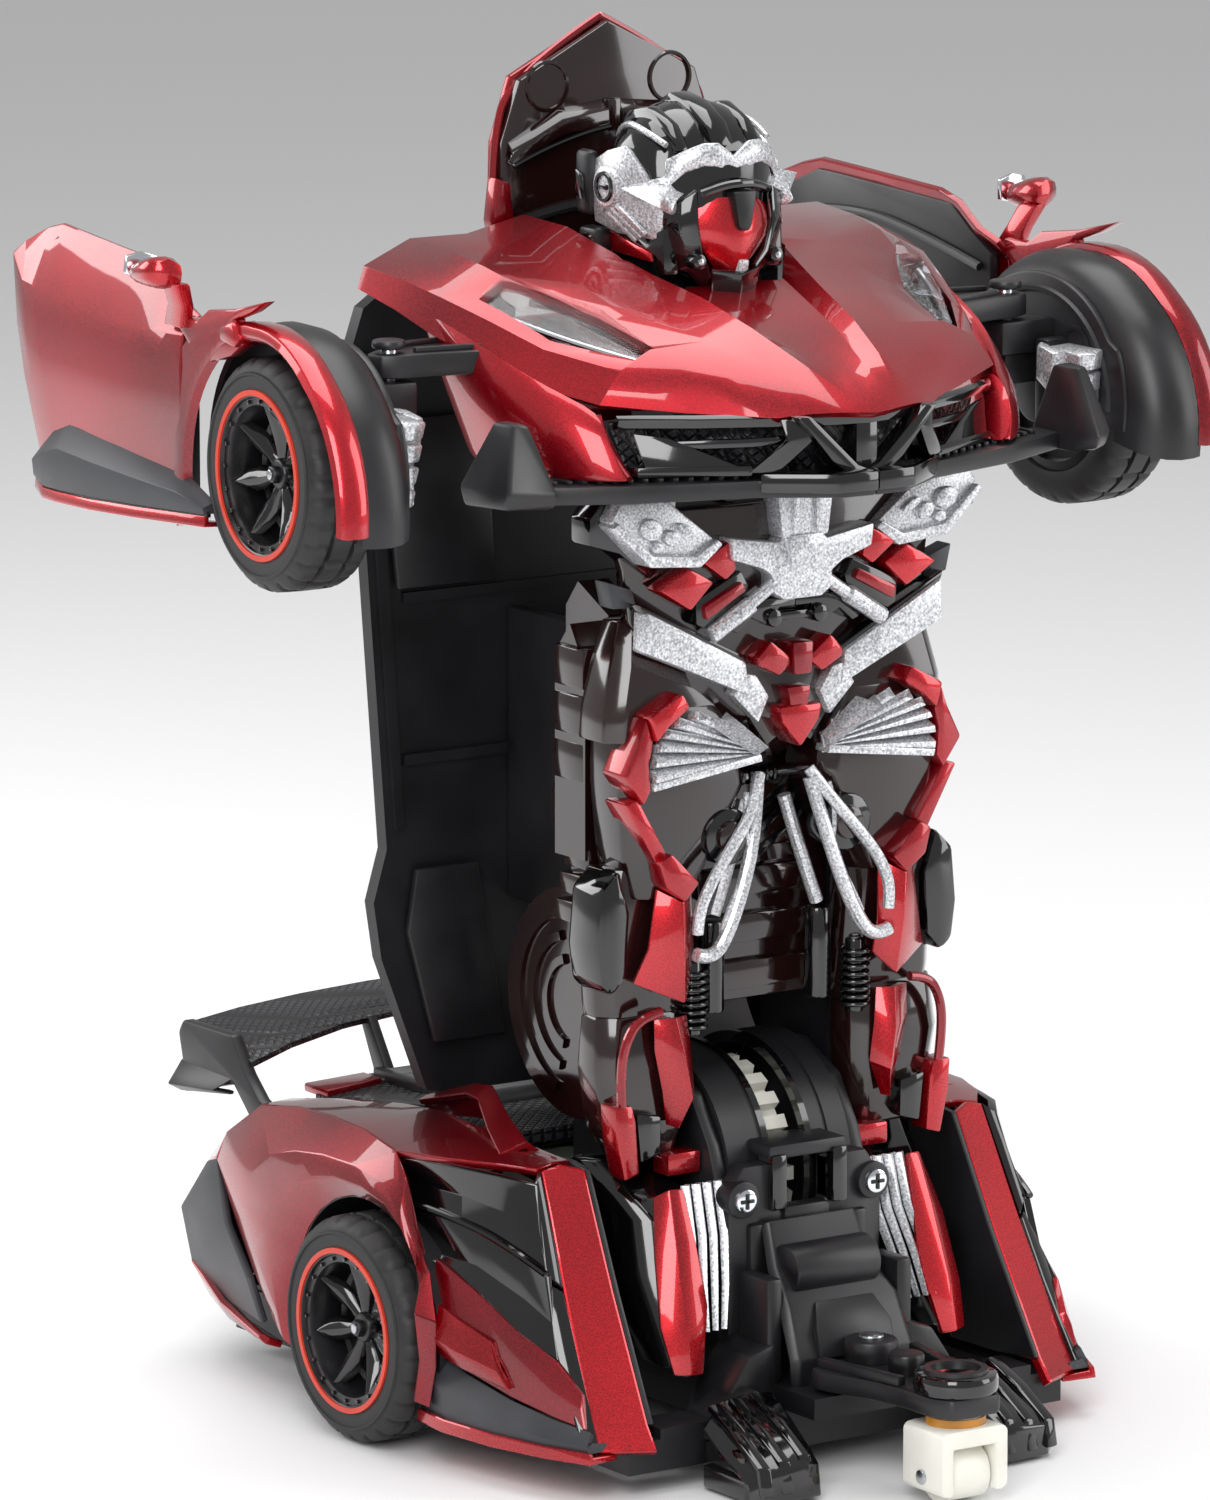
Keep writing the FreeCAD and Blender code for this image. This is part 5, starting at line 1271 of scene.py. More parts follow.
def makeScreen():
    sheet = {"liningY": (27.6, 30.6), "shellY": (30.2, 31.9), "middleZ": 237, "inset": 0.965}
    middle, inset = sheet["middleZ"], sheet["inset"]
    outline = [(0, 263.0), (20.6, 252.6), (24.6, 240.5), (25.0, 226.8), (22.0, 217.0), (16, 212.2)]
    full = outline + [(-x, z) for x, z in reversed(outline[1:])]
    back = plate("screen_lining", "Y", [(x * inset, middle + (z - middle) * inset) for x, z in full],
                 *sheet["liningY"], "plumGloss", "screen", 0.4)
    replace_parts(back, "screen")
    plate("screen_shell", "Y", full, *sheet["shellY"], "candyRed", "screen", 0.5)
    made = [
        tubePiece("screen_edge_left", [(0.0, 30.6, 262.8), (20.5, 30.4, 252.6), (24.6, 30.2, 240.5),
                                       (25.0, 29.6, 227.2)], 0.8, "candyRed", "screen", 8),
        skin("screen_tail_left", [[(22.6, 27.0, 233.0), (25.4, 27.6, 234.0), (25.4, 30.8, 234.0)],
                                  [(22.2, 26.4, 227.0), (26.4, 27.0, 226.0), (26.4, 30.8, 226.0)],
                                  [(22.0, 26.8, 222.4), (25.6, 27.4, 221.6), (25.6, 30.8, 221.6)]],
             "candyRed", "screen", wall=1.0, bevel=0.4),
        skin("screen_step_left", [[(1.5, 27.6, 247.4), (12.0, 27.6, 246.4), (23.0, 27.8, 240.6)],
                                  [(1.5, 25.0, 245.6), (12.0, 25.0, 244.4), (23.0, 25.6, 238.8)],
                                  [(1.5, 24.8, 242.8), (12.0, 24.8, 241.6), (23.0, 25.4, 236.6)],
                                  [(1.5, 27.2, 242.2), (12.0, 27.2, 241.0), (23.0, 27.4, 236.0)]],
             "plumGloss", "screen", wall=1.0, bevel=0.3),
        tubePiece("screen_step_line_left", [(1.5, 24.8, 242.4), (12.0, 24.8, 241.2), (23.0, 25.4, 236.2)],
                  0.5, "pianoBlack", "screen", 8),
        tubePiece("screen_rib_left", [(0.0, 26.9, 228.4), (12.0, 26.9, 227.8), (24.0, 27.2, 224.6)], 1.0,
                  "satinBlack", "screen", 10),
        ringPiece("screen_ring_left", "Y", (14.0, 250.6),
                  [(27.7, 5.0), (27.2, 4.8), (27.2, 4.3), (27.7, 4.1)], "plumGloss", "screen", 40),
        block("screen_hinge_left", (14, 26.8, 211.6), (19, 30.4, 217), "satinBlack", "screen", 0.6),
    ]
    mirrorAll(made)
    block("screen_middle", (-1.6, 25.4, 241.4), (1.6, 27.8, 247.6), "plumGloss", "screen", 0.5)


makeHead()
makeScreen()
print("head done")


# base: the rear half of the car

def makeHaunch():
    body = "base"
    # side face with its wheel arch, as a strip between the arch and the outline
    arch = {"hub": (11.4, 21.5), "lipRadius": 24.9, "lipX": 66.2, "liningRadius": 24.6, "liningWall": 0.8,
            "from": -24, "to": 204}
    hub = arch["hub"]
    ring, middle, crown, outer = [], [], [], []
    stations = [  # angle round the arch, outline point (x, y, z)
        (-24, 62.6, -6.0, 15.4), (-4, 63.4, -8.6, 22.6), (14, 64.2, -10.6, 32.0), (34, 64.4, -4.6, 43.4),
        (52, 63.6, 0.8, 52.0), (66, 62.2, 6.6, 55.8), (80, 60.6, 20.0, 57.2), (98, 59.0, 34.0, 57.0),
        (114, 58.6, 46.0, 56.4), (128, 59.4, 58.6, 54.6), (142, 61.2, 68.4, 47.6), (156, 62.0, 70.6, 41.8),
        (172, 63.4, 62.0, 32.2), (190, 64.4, 54.2, 24.0), (204, 64.6, 50.8, 20.6)]
    for angle, x, y, z in stations:
        lip = (hub[0] - arch["lipRadius"] * math.cos(math.radians(angle)),
               hub[1] + arch["lipRadius"] * math.sin(math.radians(angle)))
        ring.append((arch["lipX"], *lip))
        middle.append((arch["lipX"] + 1.4, lip[0] * 0.75 + y * 0.25, lip[1] * 0.75 + z * 0.25))
        crown.append((arch["lipX"] + 0.4, lip[0] * 0.45 + y * 0.55, lip[1] * 0.45 + z * 0.55))
        outer.append((x, y, z))
    made = [skin("haunch_side_left", [ring, middle, crown, outer], "candyRed", body, wall=1.6, smooth=22,
                 bevel=0.25)]
    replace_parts(made[0], "rear_fender_left")
    lining = [(44.0, arch["liningRadius"]), (66.0, arch["liningRadius"]),
              (66.0, arch["liningRadius"] + arch["liningWall"]),
              (44.0, arch["liningRadius"] + arch["liningWall"]),
              (44.0, arch["liningRadius"])]
    made += [
        # the arch lining takes the darker black, painted shade inside the wheel arch
        ringPiece("arch_lining_left", "X", hub, lining, "deepBlack", body, 56,
                  arc=arch["to"] - arch["from"],
                  begin=arch["from"]),
        # upper faces
        skin("haunch_top_left", [
            [(62.2, 6.6, 55.8), (60.6, 20.0, 57.2), (59.0, 34.0, 57.0), (58.6, 46.0, 56.4),
             (59.4, 58.6, 54.6), (61.2, 68.4, 47.6)],
            [(55.0, 5.0, 57.8), (54.0, 20.0, 58.4), (52.6, 34.0, 57.8), (51.6, 48.0, 56.8),
             (51.4, 60.0, 54.6), (51.0, 70.2, 48.0)],
            [(43.8, 4.0, 58.2), (43.0, 20.0, 58.6), (42.2, 34.0, 57.2), (42.4, 48.0, 55.4),
             (42.4, 60.0, 53.0), (42.4, 70.6, 47.0)],
            [(43.0, 4.0, 53.0), (42.4, 20.0, 53.0), (41.8, 34.0, 53.0), (42.0, 48.0, 52.0),
             (42.0, 60.0, 50.0), (42.0, 70.2, 45.0)],
        ], "candyRed", body, wall=1.4, bevel=0.3, smooth=20),
        skin("haunch_shoulder_left", [
            [(62.4, 7.2, 56.0), (60.0, -6.0, 56.6), (55.6, -16.6, 57.0), (50.6, -23.4, 56.6)],
            [(55.2, 6.0, 58.0), (53.4, -6.0, 58.2), (50.0, -16.0, 58.0), (46.6, -22.6, 57.2)],
            [(44.0, 6.0, 58.6), (43.4, -6.0, 58.2), (42.8, -15.0, 57.4), (42.4, -22.0, 57.0)],
            [(43.2, 6.0, 52.0), (42.6, -6.0, 52.0), (42.2, -15.0, 51.0), (42.0, -22.0, 50.0)],
        ], "candyRed", body, wall=1.4, bevel=0.3, smooth=20),
        skin("haunch_ridge_left", [
            [(52.4, -13.4, 57.8), (47.6, -2.0, 59.8), (42.0, 9.8, 62.6), (39.6, 17.6, 62.0),
             (39.6, 34.0, 57.6)],
            [(46.6, -14.0, 59.6), (43.0, -2.0, 62.2), (38.4, 9.8, 64.8), (37.2, 17.6, 63.8),
             (37.6, 34.0, 58.4)],
            [(42.4, -14.0, 56.6), (40.0, -2.0, 57.0), (36.4, 9.0, 57.6), (36.0, 17.0, 57.2),
             (36.4, 34.0, 54.6)],
        ], "candyRed", body, wall=1.2, bevel=0.35, smooth=20),
        # black intake behind the fin
        skin("intake_upper_left", [
            [(62.0, 6.2, 54.6), (60.6, -8.0, 55.6), (57.0, -20.4, 55.6), (52.8, -26.6, 54.6)],
            [(60.4, 5.0, 50.4), (58.6, -10.0, 50.0), (56.0, -22.6, 48.6), (54.0, -29.4, 46.6)],
            [(62.6, 3.4, 45.8), (59.8, -12.0, 45.0), (57.2, -26.0, 41.6), (55.2, -33.6, 38.6)],
        ], "pianoBlack", body, wall=1.6, bevel=0.3, smooth=25),
        skin("intake_lower_left", [
            [(63.0, 3.6, 46.2), (60.2, -12.0, 45.4), (57.6, -26.0, 42.0), (55.6, -33.8, 39.0)],
            [(62.0, -3.6, 39.0), (59.0, -16.0, 37.6), (57.0, -29.0, 33.6), (56.0, -36.6, 30.4)],
            [(63.8, -8.0, 38.0), (62.4, -19.0, 34.4), (60.0, -31.0, 28.4), (57.2, -40.0, 24.6)],
        ], "pianoBlack", body, wall=1.6, bevel=0.3, smooth=25),
        tubePiece("intake_line_left", [(62.6, 4.4, 47.0), (60.0, -12.0, 46.0), (57.4, -26.0, 42.6),
                                       (55.6, -33.6, 39.4)], 0.7, "pianoBlack", body, 10),
        # red wedge below the intake with its raised scoop
        skin("wedge_left", [
            [(63.6, -8.8, 38.6), (62.2, -19.6, 34.6), (60.0, -31.2, 28.6), (57.4, -40.4, 24.4),
             (55.4, -45.6, 19.0)],
            [(65.4, -10.0, 29.0), (64.0, -20.0, 26.4), (61.8, -31.0, 22.6), (58.8, -40.6, 19.4),
             (56.2, -46.6, 16.4)],
            [(64.2, -9.0, 21.6), (63.2, -20.0, 18.6), (61.2, -31.0, 16.0), (58.6, -41.0, 14.0),
             (56.4, -48.0, 12.8)],
        ], "candyRed", body, wall=1.8, bevel=0.3, smooth=20),
        skin("scoop_left", [
            [(65.4, -9.6, 31.6), (64.8, -18.0, 29.0), (63.2, -26.6, 26.4)],
            [(68.0, -9.4, 25.6), (67.0, -20.0, 23.4), (63.8, -29.6, 21.2)],
            [(66.0, -9.4, 21.6), (65.0, -20.6, 19.6), (62.4, -31.6, 17.6)],
        ], "brightRed", body, wall=1.6, bevel=0.4, smooth=20),
        # skirt and sill
        skin("sill_skirt_left", [
            [(64.4, -8.6, 22.0), (63.6, -19.0, 18.6), (61.6, -31.0, 15.8), (58.8, -41.4, 13.8),
             (56.2, -49.4, 12.8)],
            [(66.6, -8.4, 18.0), (67.2, -17.0, 14.8), (65.0, -30.0, 12.4), (61.4, -41.8, 10.8),
             (57.4, -50.0, 10.2)],
            [(65.6, -8.4, 9.6), (66.4, -17.0, 9.2), (64.6, -30.0, 9.0), (61.2, -42.0, 9.0),
             (57.2, -50.4, 9.0)],
            [(60.0, -8.4, 9.0), (60.0, -17.0, 9.0), (58.0, -30.0, 9.0), (56.0, -42.0, 9.0),
             (53.0, -50.0, 9.0)],
        ], "greyBlack", body, wall=1.4, bevel=0.4, smooth=20),
        skin("sill_red_left", [
            [(66.6, -7.0, 10.0), (67.4, -17.0, 10.0), (65.6, -30.0, 9.8), (62.0, -42.4, 9.6),
             (57.8, -51.6, 9.4)],
            [(66.8, -7.0, 7.4), (67.8, -17.0, 7.4), (65.8, -30.0, 7.2), (62.2, -42.6, 7.2),
             (58.0, -52.0, 7.2)],
            [(58.0, -7.0, 7.0), (58.0, -17.0, 7.0), (56.0, -30.0, 7.0), (54.0, -42.0, 7.0),
             (51.0, -50.6, 7.0)],
        ], "brightRed", body, wall=1.2, bevel=0.35, smooth=20),
        # slanted front fin with its black strip
        skin("fin_face_left", [
            [(50.6, -24.8, 56.6), (46.6, -25.6, 57.6), (42.6, -27.4, 56.4)],
            [(52.4, -35.0, 35.6), (48.0, -36.4, 36.0), (43.6, -38.6, 35.2)],
            [(54.4, -46.6, 14.0), (49.6, -49.0, 13.6), (44.8, -51.6, 13.0)],
            [(54.8, -49.8, 8.8), (50.0, -52.4, 8.8), (45.0, -55.0, 8.8)],
        ], "brightRed", body, wall=2.2, bevel=0.5, smooth=20),
        skin("fin_side_left", [
            [(42.6, -27.4, 56.4), (42.4, -22.0, 57.0), (42.4, -12.0, 56.4)],
            [(43.6, -38.6, 35.2), (43.2, -30.0, 35.0), (43.0, -18.0, 35.0)],
            [(44.8, -51.6, 13.0), (44.2, -40.0, 12.0), (43.6, -26.0, 12.0)],
        ], "satinBlack", body, wall=1.2, bevel=0.3),
        skin("fin_strip_left", [
            [(55.2, -32.6, 37.8), (52.6, -35.2, 36.0)], [(56.8, -38.6, 26.2), (53.4, -41.4, 24.6)],
            [(57.6, -48.8, 10.0), (54.8, -50.4, 9.4)]],
             "pianoBlack", body, wall=2.0, bevel=0.4),
        skin("fin_cheek_left", [
            [(52.6, -26.4, 55.0), (50.6, -24.8, 56.6)], [(55.0, -33.0, 39.0), (52.4, -35.0, 36.4)]],
             "pianoBlack", body, wall=1.8, bevel=0.3),
        # the floor under the haunch takes the darker black, painted shade
        block("haunch_floor_left", (42.6, -6, 12.0), (60.0, 9, 14.0), "deepBlack", body, 0.3),
    ]
    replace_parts(named(made, "fin_side_left"), "front_fins")
    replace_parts(named(made, "sill_red_left"), "side_skirts")
    # rear bumper corner
    exhaust = {"centre": (9.0, 22.6), "radius": 4.2, "bore": 3.3}
    diffuser = {"fins": 4, "firstX": 16, "pitch": 9, "thick": 1.6}
    made += [
        skin("bumper_corner_left", [
            [(62.2, 70.8, 42.0), (58.6, 79.4, 39.6), (50.0, 84.0, 39.0), (30.0, 87.4, 39.0),
             (0.0, 88.6, 39.0)],
            [(65.0, 63.0, 31.0), (60.6, 86.4, 29.2), (51.0, 91.6, 28.6), (30.0, 94.2, 28.6),
             (0.0, 95.0, 28.6)],
            [(65.6, 54.0, 22.0), (60.6, 82.6, 19.2), (51.0, 88.0, 18.4), (30.0, 90.6, 18.2),
             (0.0, 91.4, 18.2)],
            [(64.6, 50.6, 13.6), (59.6, 77.6, 14.2), (50.4, 83.4, 14.0), (30.0, 86.0, 14.0),
             (0.0, 87.0, 14.0)],
        ], "greyBlack", body, wall=1.6, bevel=0.5, smooth=20),
        skin("bumper_lip_left", [
            [(60.9, 82.4, 19.4), (62.9, 68.6, 14.0), (64.9, 51.4, 11.0)],
            [(60.0, 77.0, 13.4), (62.4, 66.0, 11.2), (64.4, 49.6, 9.8)],
            [(57.0, 76.0, 11.4), (59.4, 64.0, 9.6), (61.4, 48.8, 8.8)],
        ], "candyRed", body, wall=1.4, bevel=0.4, smooth=20),
        skin("bumper_brow_left", [
            [(61.2, 68.6, 47.4), (51.0, 70.6, 48.0), (42.4, 71.0, 47.4), (20.0, 73.0, 47.4),
             (0.0, 73.8, 47.4)],
            [(62.0, 71.0, 42.0), (58.6, 79.6, 39.6), (50.0, 84.2, 39.0), (30.0, 87.6, 39.0),
             (0.0, 88.8, 39.0)],
        ], "candyRed", body, wall=1.4, bevel=0.4, smooth=20),
        plate("tail_lamp_left", "Y", [(24, 35.4), (48, 35.8), (52, 32.6), (46, 31.0), (28, 31.4)], 88.0,
              93.6, "pianoBlack", body, 0.6),
        plate("tail_lamp_glass_left", "Y", [(27, 34.2), (46, 34.6), (48.6, 33.0), (45, 32.2), (29, 32.4)],
              93.0, 94.4, "brightRed", body, 0.4),
        barrel("exhaust_left", "Y", exhaust["centre"], exhaust["radius"], 88.0, 93.6, "chrome", body, 0.6,
               40),
        # a dark disc in the darker black: painted shade standing in for the shade inside the exhaust bore
        barrel("exhaust_hole_left", "Y", exhaust["centre"], exhaust["bore"], 93.0, 93.8, "deepBlack", body,
               0.2, 40),
    ]
    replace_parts(named(made, "bumper_corner_left"), "rear_bumper")
    for fin in range(diffuser["fins"]):
        x = diffuser["firstX"] + diffuser["pitch"] * fin
        made.append(block("diffuser_fin_%d_left" % fin, (x, 76.0, 8.6), (x + diffuser["thick"], 88.4, 17.6),
                          "satinBlack", body, 0.4))
    # wing
    made += [
        skin("wing_blade_left", [
            [(0, 76.4, 64.6), (14, 77.0, 64.6), (30, 74.6, 64.0), (44, 71.4, 62.6), (55.6, 68.0, 60.6)],
            [(0, 80.0, 66.6), (14, 80.6, 66.6), (30, 79.2, 66.0), (44, 76.8, 64.6), (55.6, 74.4, 62.4)],
            [(0, 91.0, 67.6), (14, 91.2, 67.6), (30, 91.0, 67.0), (44, 90.8, 66.0), (55.6, 90.4, 64.6)],
            [(0, 91.0, 66.0), (14, 91.2, 66.0), (30, 91.0, 65.4), (44, 90.8, 64.4), (55.6, 90.4, 63.0)],
        ], "scale", body, wall=1.4, bevel=0.4, smooth=25),
        plate("wing_end_left", "X", [(57.0, 52.4), (59.6, 50.6), (66.4, 50.4), (72.0, 55.6), (90.4, 50.8),
                                     (92.4, 52.6), (90.8, 57.4), (92.2, 62.6),
                                     (90.4, 65.2), (72.6, 65.4), (67.4, 58.6), (62.6, 54.4)], 54.6, 57.4,
              "satinBlack", body, 0.7),
        skin("wing_end_flare_left", [[(57.2, 72.0, 57.0), (57.2, 91.0, 57.4)],
                                     [(59.6, 76.0, 54.0), (60.2, 91.6, 52.6)],
                                     [(57.2, 72.0, 53.6), (57.2, 91.0, 50.9)]],
             "satinBlack", body, wall=1.0, bevel=0.3),
        plate("wing_foot_left", "X", [(58, 50.2), (69.6, 50.2), (73.0, 53.0), (79.0, 64.6), (75.6, 64.8),
                                      (69.0, 55.0), (60.0, 52.0)], 22.0, 24.2,
              "satinBlack", body, 0.5),
    ]
    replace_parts(named(made, "wing_blade_left"), "rear_wing")
    mirrorAll(made)


def makeDeck():
    # slatted mesh deck between the haunches
    slats = {"count": 6, "firstY": 38, "pitch": 5.4, "halfWidth": 24}
    bed = plate("deck_mesh", "Z", [(-36.6, 16), (-42.0, 46), (-42.4, 66), (-30, 71), (30, 71), (42.4, 66),
                                   (42.0, 46), (36.6, 16)], 50.4, 53.2, "mesh", "base", 0.4)
    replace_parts(bed, "rear_deck")
    for slat in range(slats["count"]):
        y = slats["firstY"] + slats["pitch"] * slat
        plate("deck_slat_%d" % slat, "X", [(y, 53.0), (y + 3.6, 55.4), (y + 4.0, 55.0), (y + 0.8, 53.0)],
              -slats["halfWidth"], slats["halfWidth"], "satinBlack", "base", 0.3)
    made = [
        skin("deck_panel_left", [[(24, 36, 53.4), (41, 36, 56.6)], [(24, 54, 53.4), (42, 54, 54.8)],
                                 [(24, 70, 52.4), (42, 70, 50.4)]], "mesh", "base",
             wall=1.2, bevel=0.3),
        block("deck_edge_left", (24, 36, 52.8), (26, 71, 55.4), "satinBlack", "base", 0.5),
        plate("deck_red_left", "Z", [(27, 66), (42, 62), (42, 70.8), (27, 72.4)], 52.6, 54.4, "candyRed",
              "base", 0.5),
    ]
    mirrorAll(made)
    block("deck_tail", (-27, 66, 52.6), (27, 72.4, 54.0), "satinBlack", "base", 0.6)


makeHaunch()
makeDeck()
print("base done")


# gear housing, toe block, feet and castor

def makeHousing():
    case = {"drum": (-10, 50), "drumRadius": 22.9, "screw": (14.9, 49.0)}
    radius = case["drumRadius"]
    frame = plate("housing_frame", "Y", [(-17.5, 10), (17.5, 10), (17.5, 50), (14, 55), (5.2, 55),
                                         (5.2, 46), (-5.2, 46), (-5.2, 55), (-14, 55), (-17.5, 50)],
                  -38, -33.5, "satinBlack", "base", 0.8)
    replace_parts(frame, "gearbox_housing")
    made = [
        plate("housing_side_left", "X", [(-34, 10), (12, 10), (12, 52), (5, 66), (-3, 71.4), (-14, 72),
                                         (-25, 67), (-31, 58), (-34, 50)], 14.2, 17.4, "satinBlack", "base",
              0.8),
        ringPiece("drum_cover_left", "X", case["drum"],
                  [(4.4, radius - 1.5), (4.4, radius), (14.2, radius), (14.2, radius - 1.5),
                   (4.4, radius - 1.5)], "satinBlack", "base", 80),
        ringPiece("drum_rib_left", "X", case["drum"],
                  [(4.2, 21.6), (4.2, 23.4), (5.6, 23.4), (5.6, 21.6), (4.2, 21.6)], "pianoBlack", "base",
                  80),
        ringPiece("drum_step_left", "X", case["drum"],
                  [(9.4, 22.0), (9.4, 23.3), (14.0, 23.3), (14.0, 22.0), (9.4, 22.0)], "satinBlack", "base",
                  80),
        barrel("screw_seat_left", "Y", case["screw"], 3.6, -39.4, -33.6, "satinBlack", "base", 0.4, 32,
               3.2),
        barrel("screw_head_left", "Y", case["screw"], 2.3, -40.4, -38.8, "chrome", "base", 0.4, 28),
        # the screw's cross recess, drawn as bars of the darker black: painted shade
        block("screw_cross_left", (13.4, -40.7, 48.65), (16.4, -40.2, 49.35), "deepBlack", "base", 0.1),
        block("screw_cross_up_left", (14.55, -40.7, 47.5), (15.25, -40.2, 50.5), "deepBlack", "base", 0.1),
        block("housing_post_left", (9.2, -39.4, 20), (13.4, -37.4, 44), "satinBlack", "base", 0.7),
        plate("housing_lip_left", "Y", [(5.2, 46), (8.6, 46), (8.6, 56.6), (5.2, 56.6)], -39.6, -34,
              "pianoBlack", "base", 0.5),
        block("housing_foot_left", (12.6, -42.6, 10.6), (19.6, -34, 20.4), "satinBlack", "base", 1.0),
        plate("side_step_left", "Y", [(14, 10.4), (27, 10.4), (25, 16.2), (21, 22), (15, 24)], -50.0, -38.0,
              "satinBlack", "base", 0.8),
        plate("side_step_low_left", "Y", [(16, 8.6), (33, 8.6), (31, 13), (22, 17)], -54.0, -44.0,
              "satinBlack", "base", 0.8),
    ]
    block("housing_top_plate", (-8.8, -39.0, 55.6), (8.8, -28.6, 58.4), "satinBlack", "base", 0.8)
    block("housing_tongue", (-5.2, -38.8, 40.0), (5.2, -35.0, 46.4), "satinBlack", "base", 0.6)
    body = skin("toe_cover", [
        [(-11, -39.0, 44.0), (-11.6, -42.0, 36.0), (-13.6, -48.6, 30.0), (-14.2, -53.0, 21.0),
         (-13.6, -52.6, 15.6)],
        [(-9.6, -40.0, 44.6), (-10.4, -43.6, 36.4), (-12.0, -50.2, 30.4), (-12.6, -54.4, 21.0),
         (-12.2, -53.8, 15.6)],
        [(9.6, -40.0, 44.6), (10.4, -43.6, 36.4), (12.0, -50.2, 30.4), (12.6, -54.4, 21.0),
         (12.2, -53.8, 15.6)],
        [(11, -39.0, 44.0), (11.6, -42.0, 36.0), (13.6, -48.6, 30.0), (14.2, -53.0, 21.0),
         (13.6, -52.6, 15.6)],
    ], "satinBlack", "base", wall=2.0, bevel=0.6)
    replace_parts(body, "toe_block")
    barrel("toe_barrel", "X", (-44.6, 36.0), 4.8, -9.6, 9.6, "satinBlack", "base", 0.6, 40)
    skin("toe_panel", [[(-6.6, -50.6, 31.0), (6.6, -50.6, 31.0)], [(-8.6, -54.0, 26.4), (8.6, -54.0, 26.4)],
                       [(-8.6, -55.6, 21.0), (8.6, -55.6, 21.0)]],
         "satinBlack", "base", wall=1.8, bevel=0.6)
    plate("toe_panel_frame", "Y", [(-10.6, 15.2), (10.6, 15.2), (9.4, 18.4), (-9.4, 18.4)], -55.8, -52.0,
          "satinBlack", "base", 0.5)
    made += [
        block("toe_rail_left", (13.0, -49.4, 16.0), (16.6, -40.0, 36.0), "satinBlack", "base", 0.9),
        skin("foot_upper_left", [
            [(17.6, -52.6, 15.8), (22.4, -52.4, 16.4), (29.6, -52.6, 15.6), (34.2, -53.4, 11.0)],
            [(18.6, -60.0, 12.6), (22.6, -60.4, 13.4), (30.0, -60.6, 12.4), (34.8, -60.0, 7.6)],
            [(20.0, -68.0, 9.0), (23.0, -68.6, 9.6), (31.0, -68.4, 8.6), (34.8, -66.0, 5.0)],
            [(20.6, -72.0, 6.6), (23.6, -72.4, 7.0), (31.6, -71.6, 6.2), (34.6, -68.6, 3.4)],
            [(20.2, -72.2, 0.4), (24.0, -72.6, 0.4), (32.0, -71.8, 0.4), (34.8, -69.0, 0.4)],
        ], "pianoBlack", "base", wall=2.4, bevel=0.5, smooth=20),
        plate("foot_sole_left", "Z", [(18.0, -53), (20.6, -71.6), (24.2, -72), (32, -71), (34.4, -68),
                                      (34.4, -54)], 0.2, 4.6, "pianoBlack", "base", 0.6),
        block("foot_core_left", (19.6, -66, 3.0), (33.4, -53, 9.0), "pianoBlack", "base", 1.0),
    ]
    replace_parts(named(made, "foot_upper_left"), "feet")
    ridges = {"count": 3, "firstX": 21.4, "pitch": 4.5, "drop": 0.6}
    for ridge in range(ridges["count"]):
        x = ridges["firstX"] + ridges["pitch"] * ridge
        drop = ridges["drop"] * ridge
        made.append(skin("foot_ridge_%d_left" % ridge, [
            [(x, -54, 16.8 - 0.5 * ridge), (x + 2.8, -54, 16.8 - 0.5 * ridge)],
            [(x + 0.4, -63, 13.0 - drop), (x + 3.2, -63, 13.0 - drop)],
            [(x + 0.8, -71.6, 8.4 - drop), (x + 3.4, -71.2, 8.4 - drop)],
            [(x + 1.0, -73.0, 2.0), (x + 3.4, -72.4, 2.0)]], "pianoBlack", "base", wall=1.6, bevel=0.5))
    mirrorAll(made)


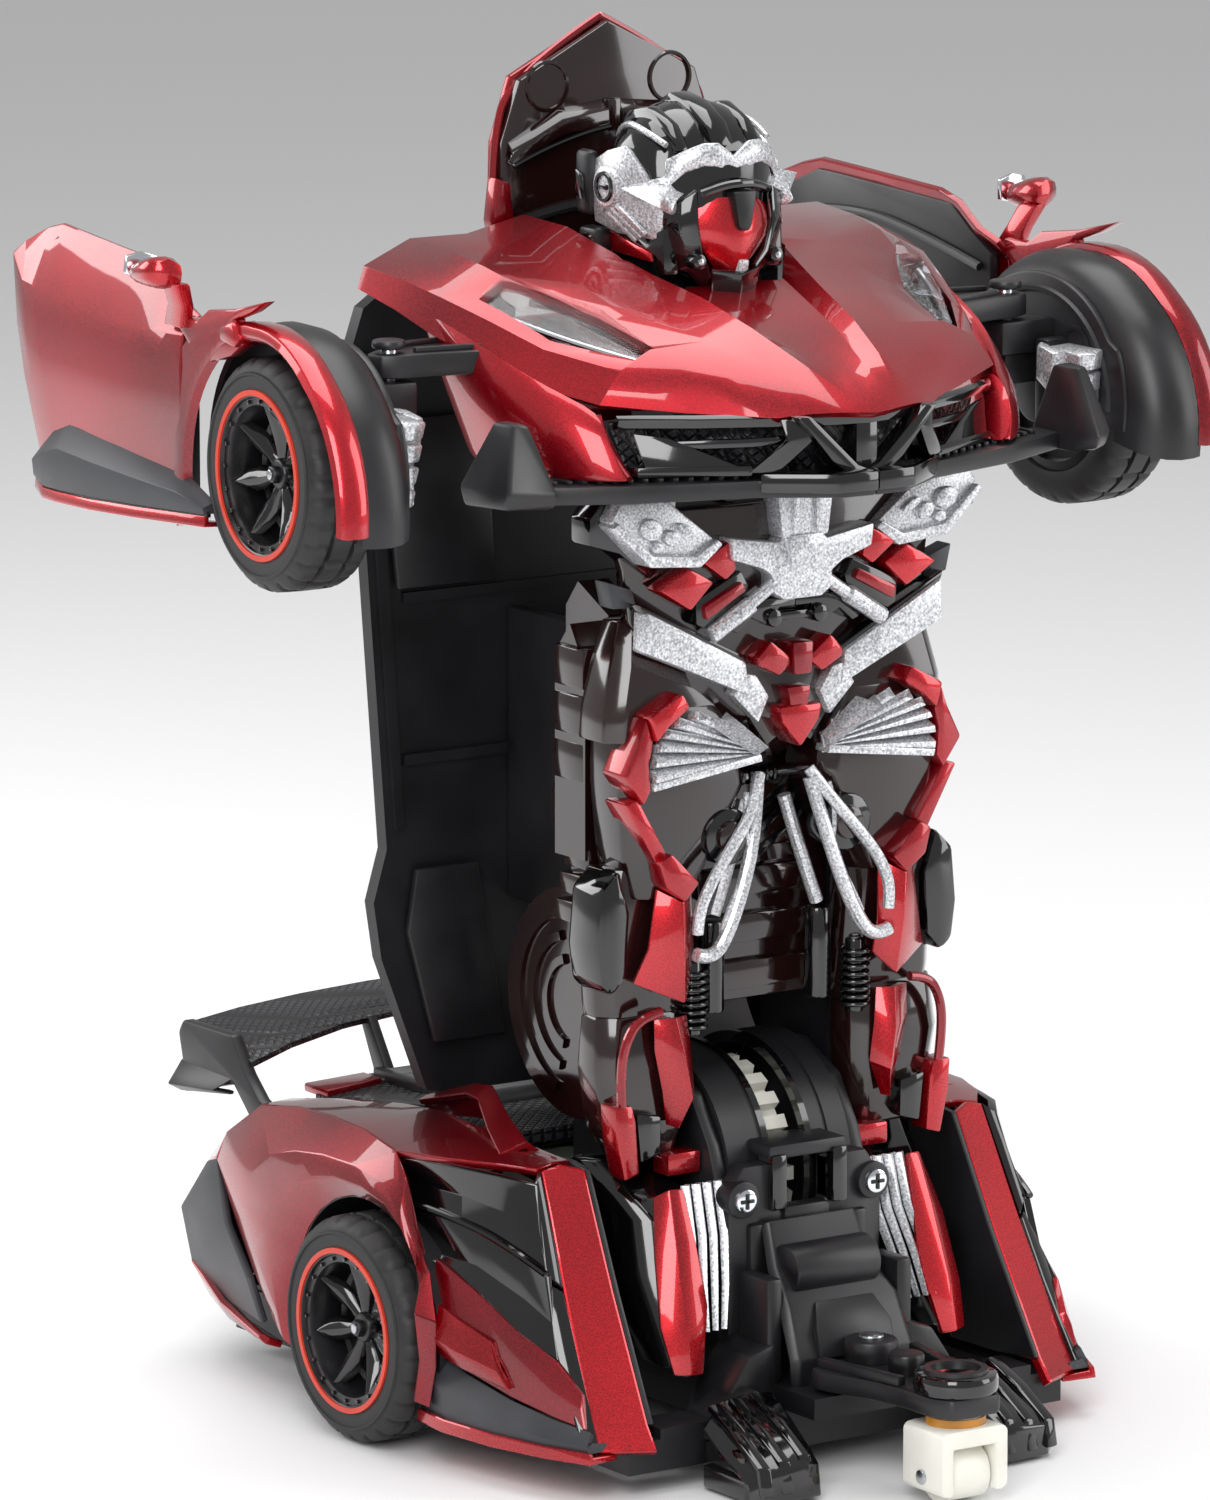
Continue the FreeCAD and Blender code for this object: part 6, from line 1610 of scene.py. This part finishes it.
def makeCastor():
    castor = {"pivot": (0, -59.2), "post": (0, -70.4), "swivel": (0, -85.9), "rollerHeight": 5.2}
    arm = plate("castor_plate", "Z", [(-6, -54.8), (6, -54.8), (12.8, -57.6), (12.8, -61), (8.6, -72),
                                      (7.6, -80), (7.6, -88), (5.4, -92.6), (-5.4, -92.6),
                                      (-7.6, -88), (-7.6, -80), (-8.6, -72), (-12.8, -61), (-12.8, -57.6)],
                16.6, 20.6, "satinBlack", "castor_arm", 1.0)
    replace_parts(arm, "castor_arm")
    for side in (-1, 1):
        plate("castor_rail_%d" % side, "Z", [(side * 11.6, -58), (side * 9.4, -58), (side * 5.4, -78),
                                             (side * 7.4, -78)], 20.4, 22.4, "satinBlack", "castor_arm",
              0.5)
    barrel("castor_arm_boss", "Z", castor["pivot"], 5.0, 20.4, 24.9, "satinBlack", "castor_arm", 0.7, 40)
    barrel("castor_arm_cap", "Z", castor["pivot"], 2.4, 24.8, 25.6, "steel", "castor_arm", 0.3, 24)
    barrel("castor_post", "Z", castor["post"], 3.4, 20.4, 24.4, "satinBlack", "castor_arm", 0.6, 32)
    barrel("castor_cap", "Z", castor["swivel"], 7.9, 20.4, 24.2, "pianoBlack", "castor_arm", 1.0, 48)
    ringPiece("castor_cap_ring", "Z", castor["swivel"],
              [(23.6, 6.2), (24.9, 6.0), (24.9, 4.6), (23.6, 4.4)], "satinBlack", "castor_arm", 48)
    half = [(-7.5, 13.6), (-6.6, 14.4), (-5, 14.6), (5, 14.6), (6.6, 14.4), (7.5, 13.6), (7.5, 3.2),
            (6.6, 2.2), (4.8, 2.2), (4.8, 11.0), (-4.8, 11.0),
            (-4.8, 2.2), (-6.6, 2.2), (-7.5, 3.2)]
    fork = plate("castor_fork", "Y", half, -92.3, -79.5, "white", "castor_swivel", 1.1)
    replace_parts(fork, "castor_block")
    barrel("castor_neck", "Z", castor["swivel"], 5.2, 14.4, 16.3, "white", "castor_swivel", 0.3, 40)
    ringPiece("castor_amber_ring", "Z", castor["swivel"],
              [(14.4, 5.6), (16.1, 5.6), (16.1, 5.0), (14.4, 5.0), (14.4, 5.6)], "amber", "castor_swivel",
              40)
    barrel("castor_pin", "X", (castor["swivel"][1], castor["rollerHeight"]), 1.4, -8.1, 8.1, "steel",
           "castor_swivel", 0.3, 24)


# the robot's back, which is the car's roof

def makeRoof():
    section = [(-44, 32.4), (-40, 40.0), (-24, 42.4), (0, 42.8), (24, 42.4), (40, 40.0), (44, 32.4)]
    widths = {60: 0.86, 88: 1.08, 110: 1.08, 150: 1.14, 180: 1.2,
              205: 1.24}  # height to share of the section
    skin("roof_shell", [[(x * share, y, z) for x, y in section] for z, share in widths.items()], "candyRed",
         "torso", wall=1.6, bevel=0.6, smooth=40)
    plate("roof_window", "Y", [(-34, 66), (34, 66), (38, 92), (34, 112), (-34, 112), (-38, 92)], 42.0, 43.6,
          "pianoBlack", "torso", 0.6)
    plate("roof_glass", "Y", [(-36, 122), (36, 122), (42, 168), (42, 198), (-42, 198), (-42, 168)], 42.0,
          43.8, "pianoBlack", "torso", 0.6)
    made = [plate("roof_rail_left", "Y", [(36, 118), (40, 118), (46, 168), (46, 202), (42, 202), (42, 168)],
                  40.6, 44.2, "candyRed", "torso", 0.6),
            plate("panel_rib_left", "Y", [(24, 70), (40, 70), (46, 92), (44, 104), (30, 104)], 27.0, 28.4,
                  "satinBlack", "torso", 0.4),
            plate("panel_rib_upper_left", "Y", [(26, 158), (48, 158), (50, 176), (44, 190), (28, 190)],
                  27.0, 28.4, "satinBlack", "torso", 0.4)]
    mirrorAll(made)


makeHousing()
makeCastor()
makeRoof()
print("front done")
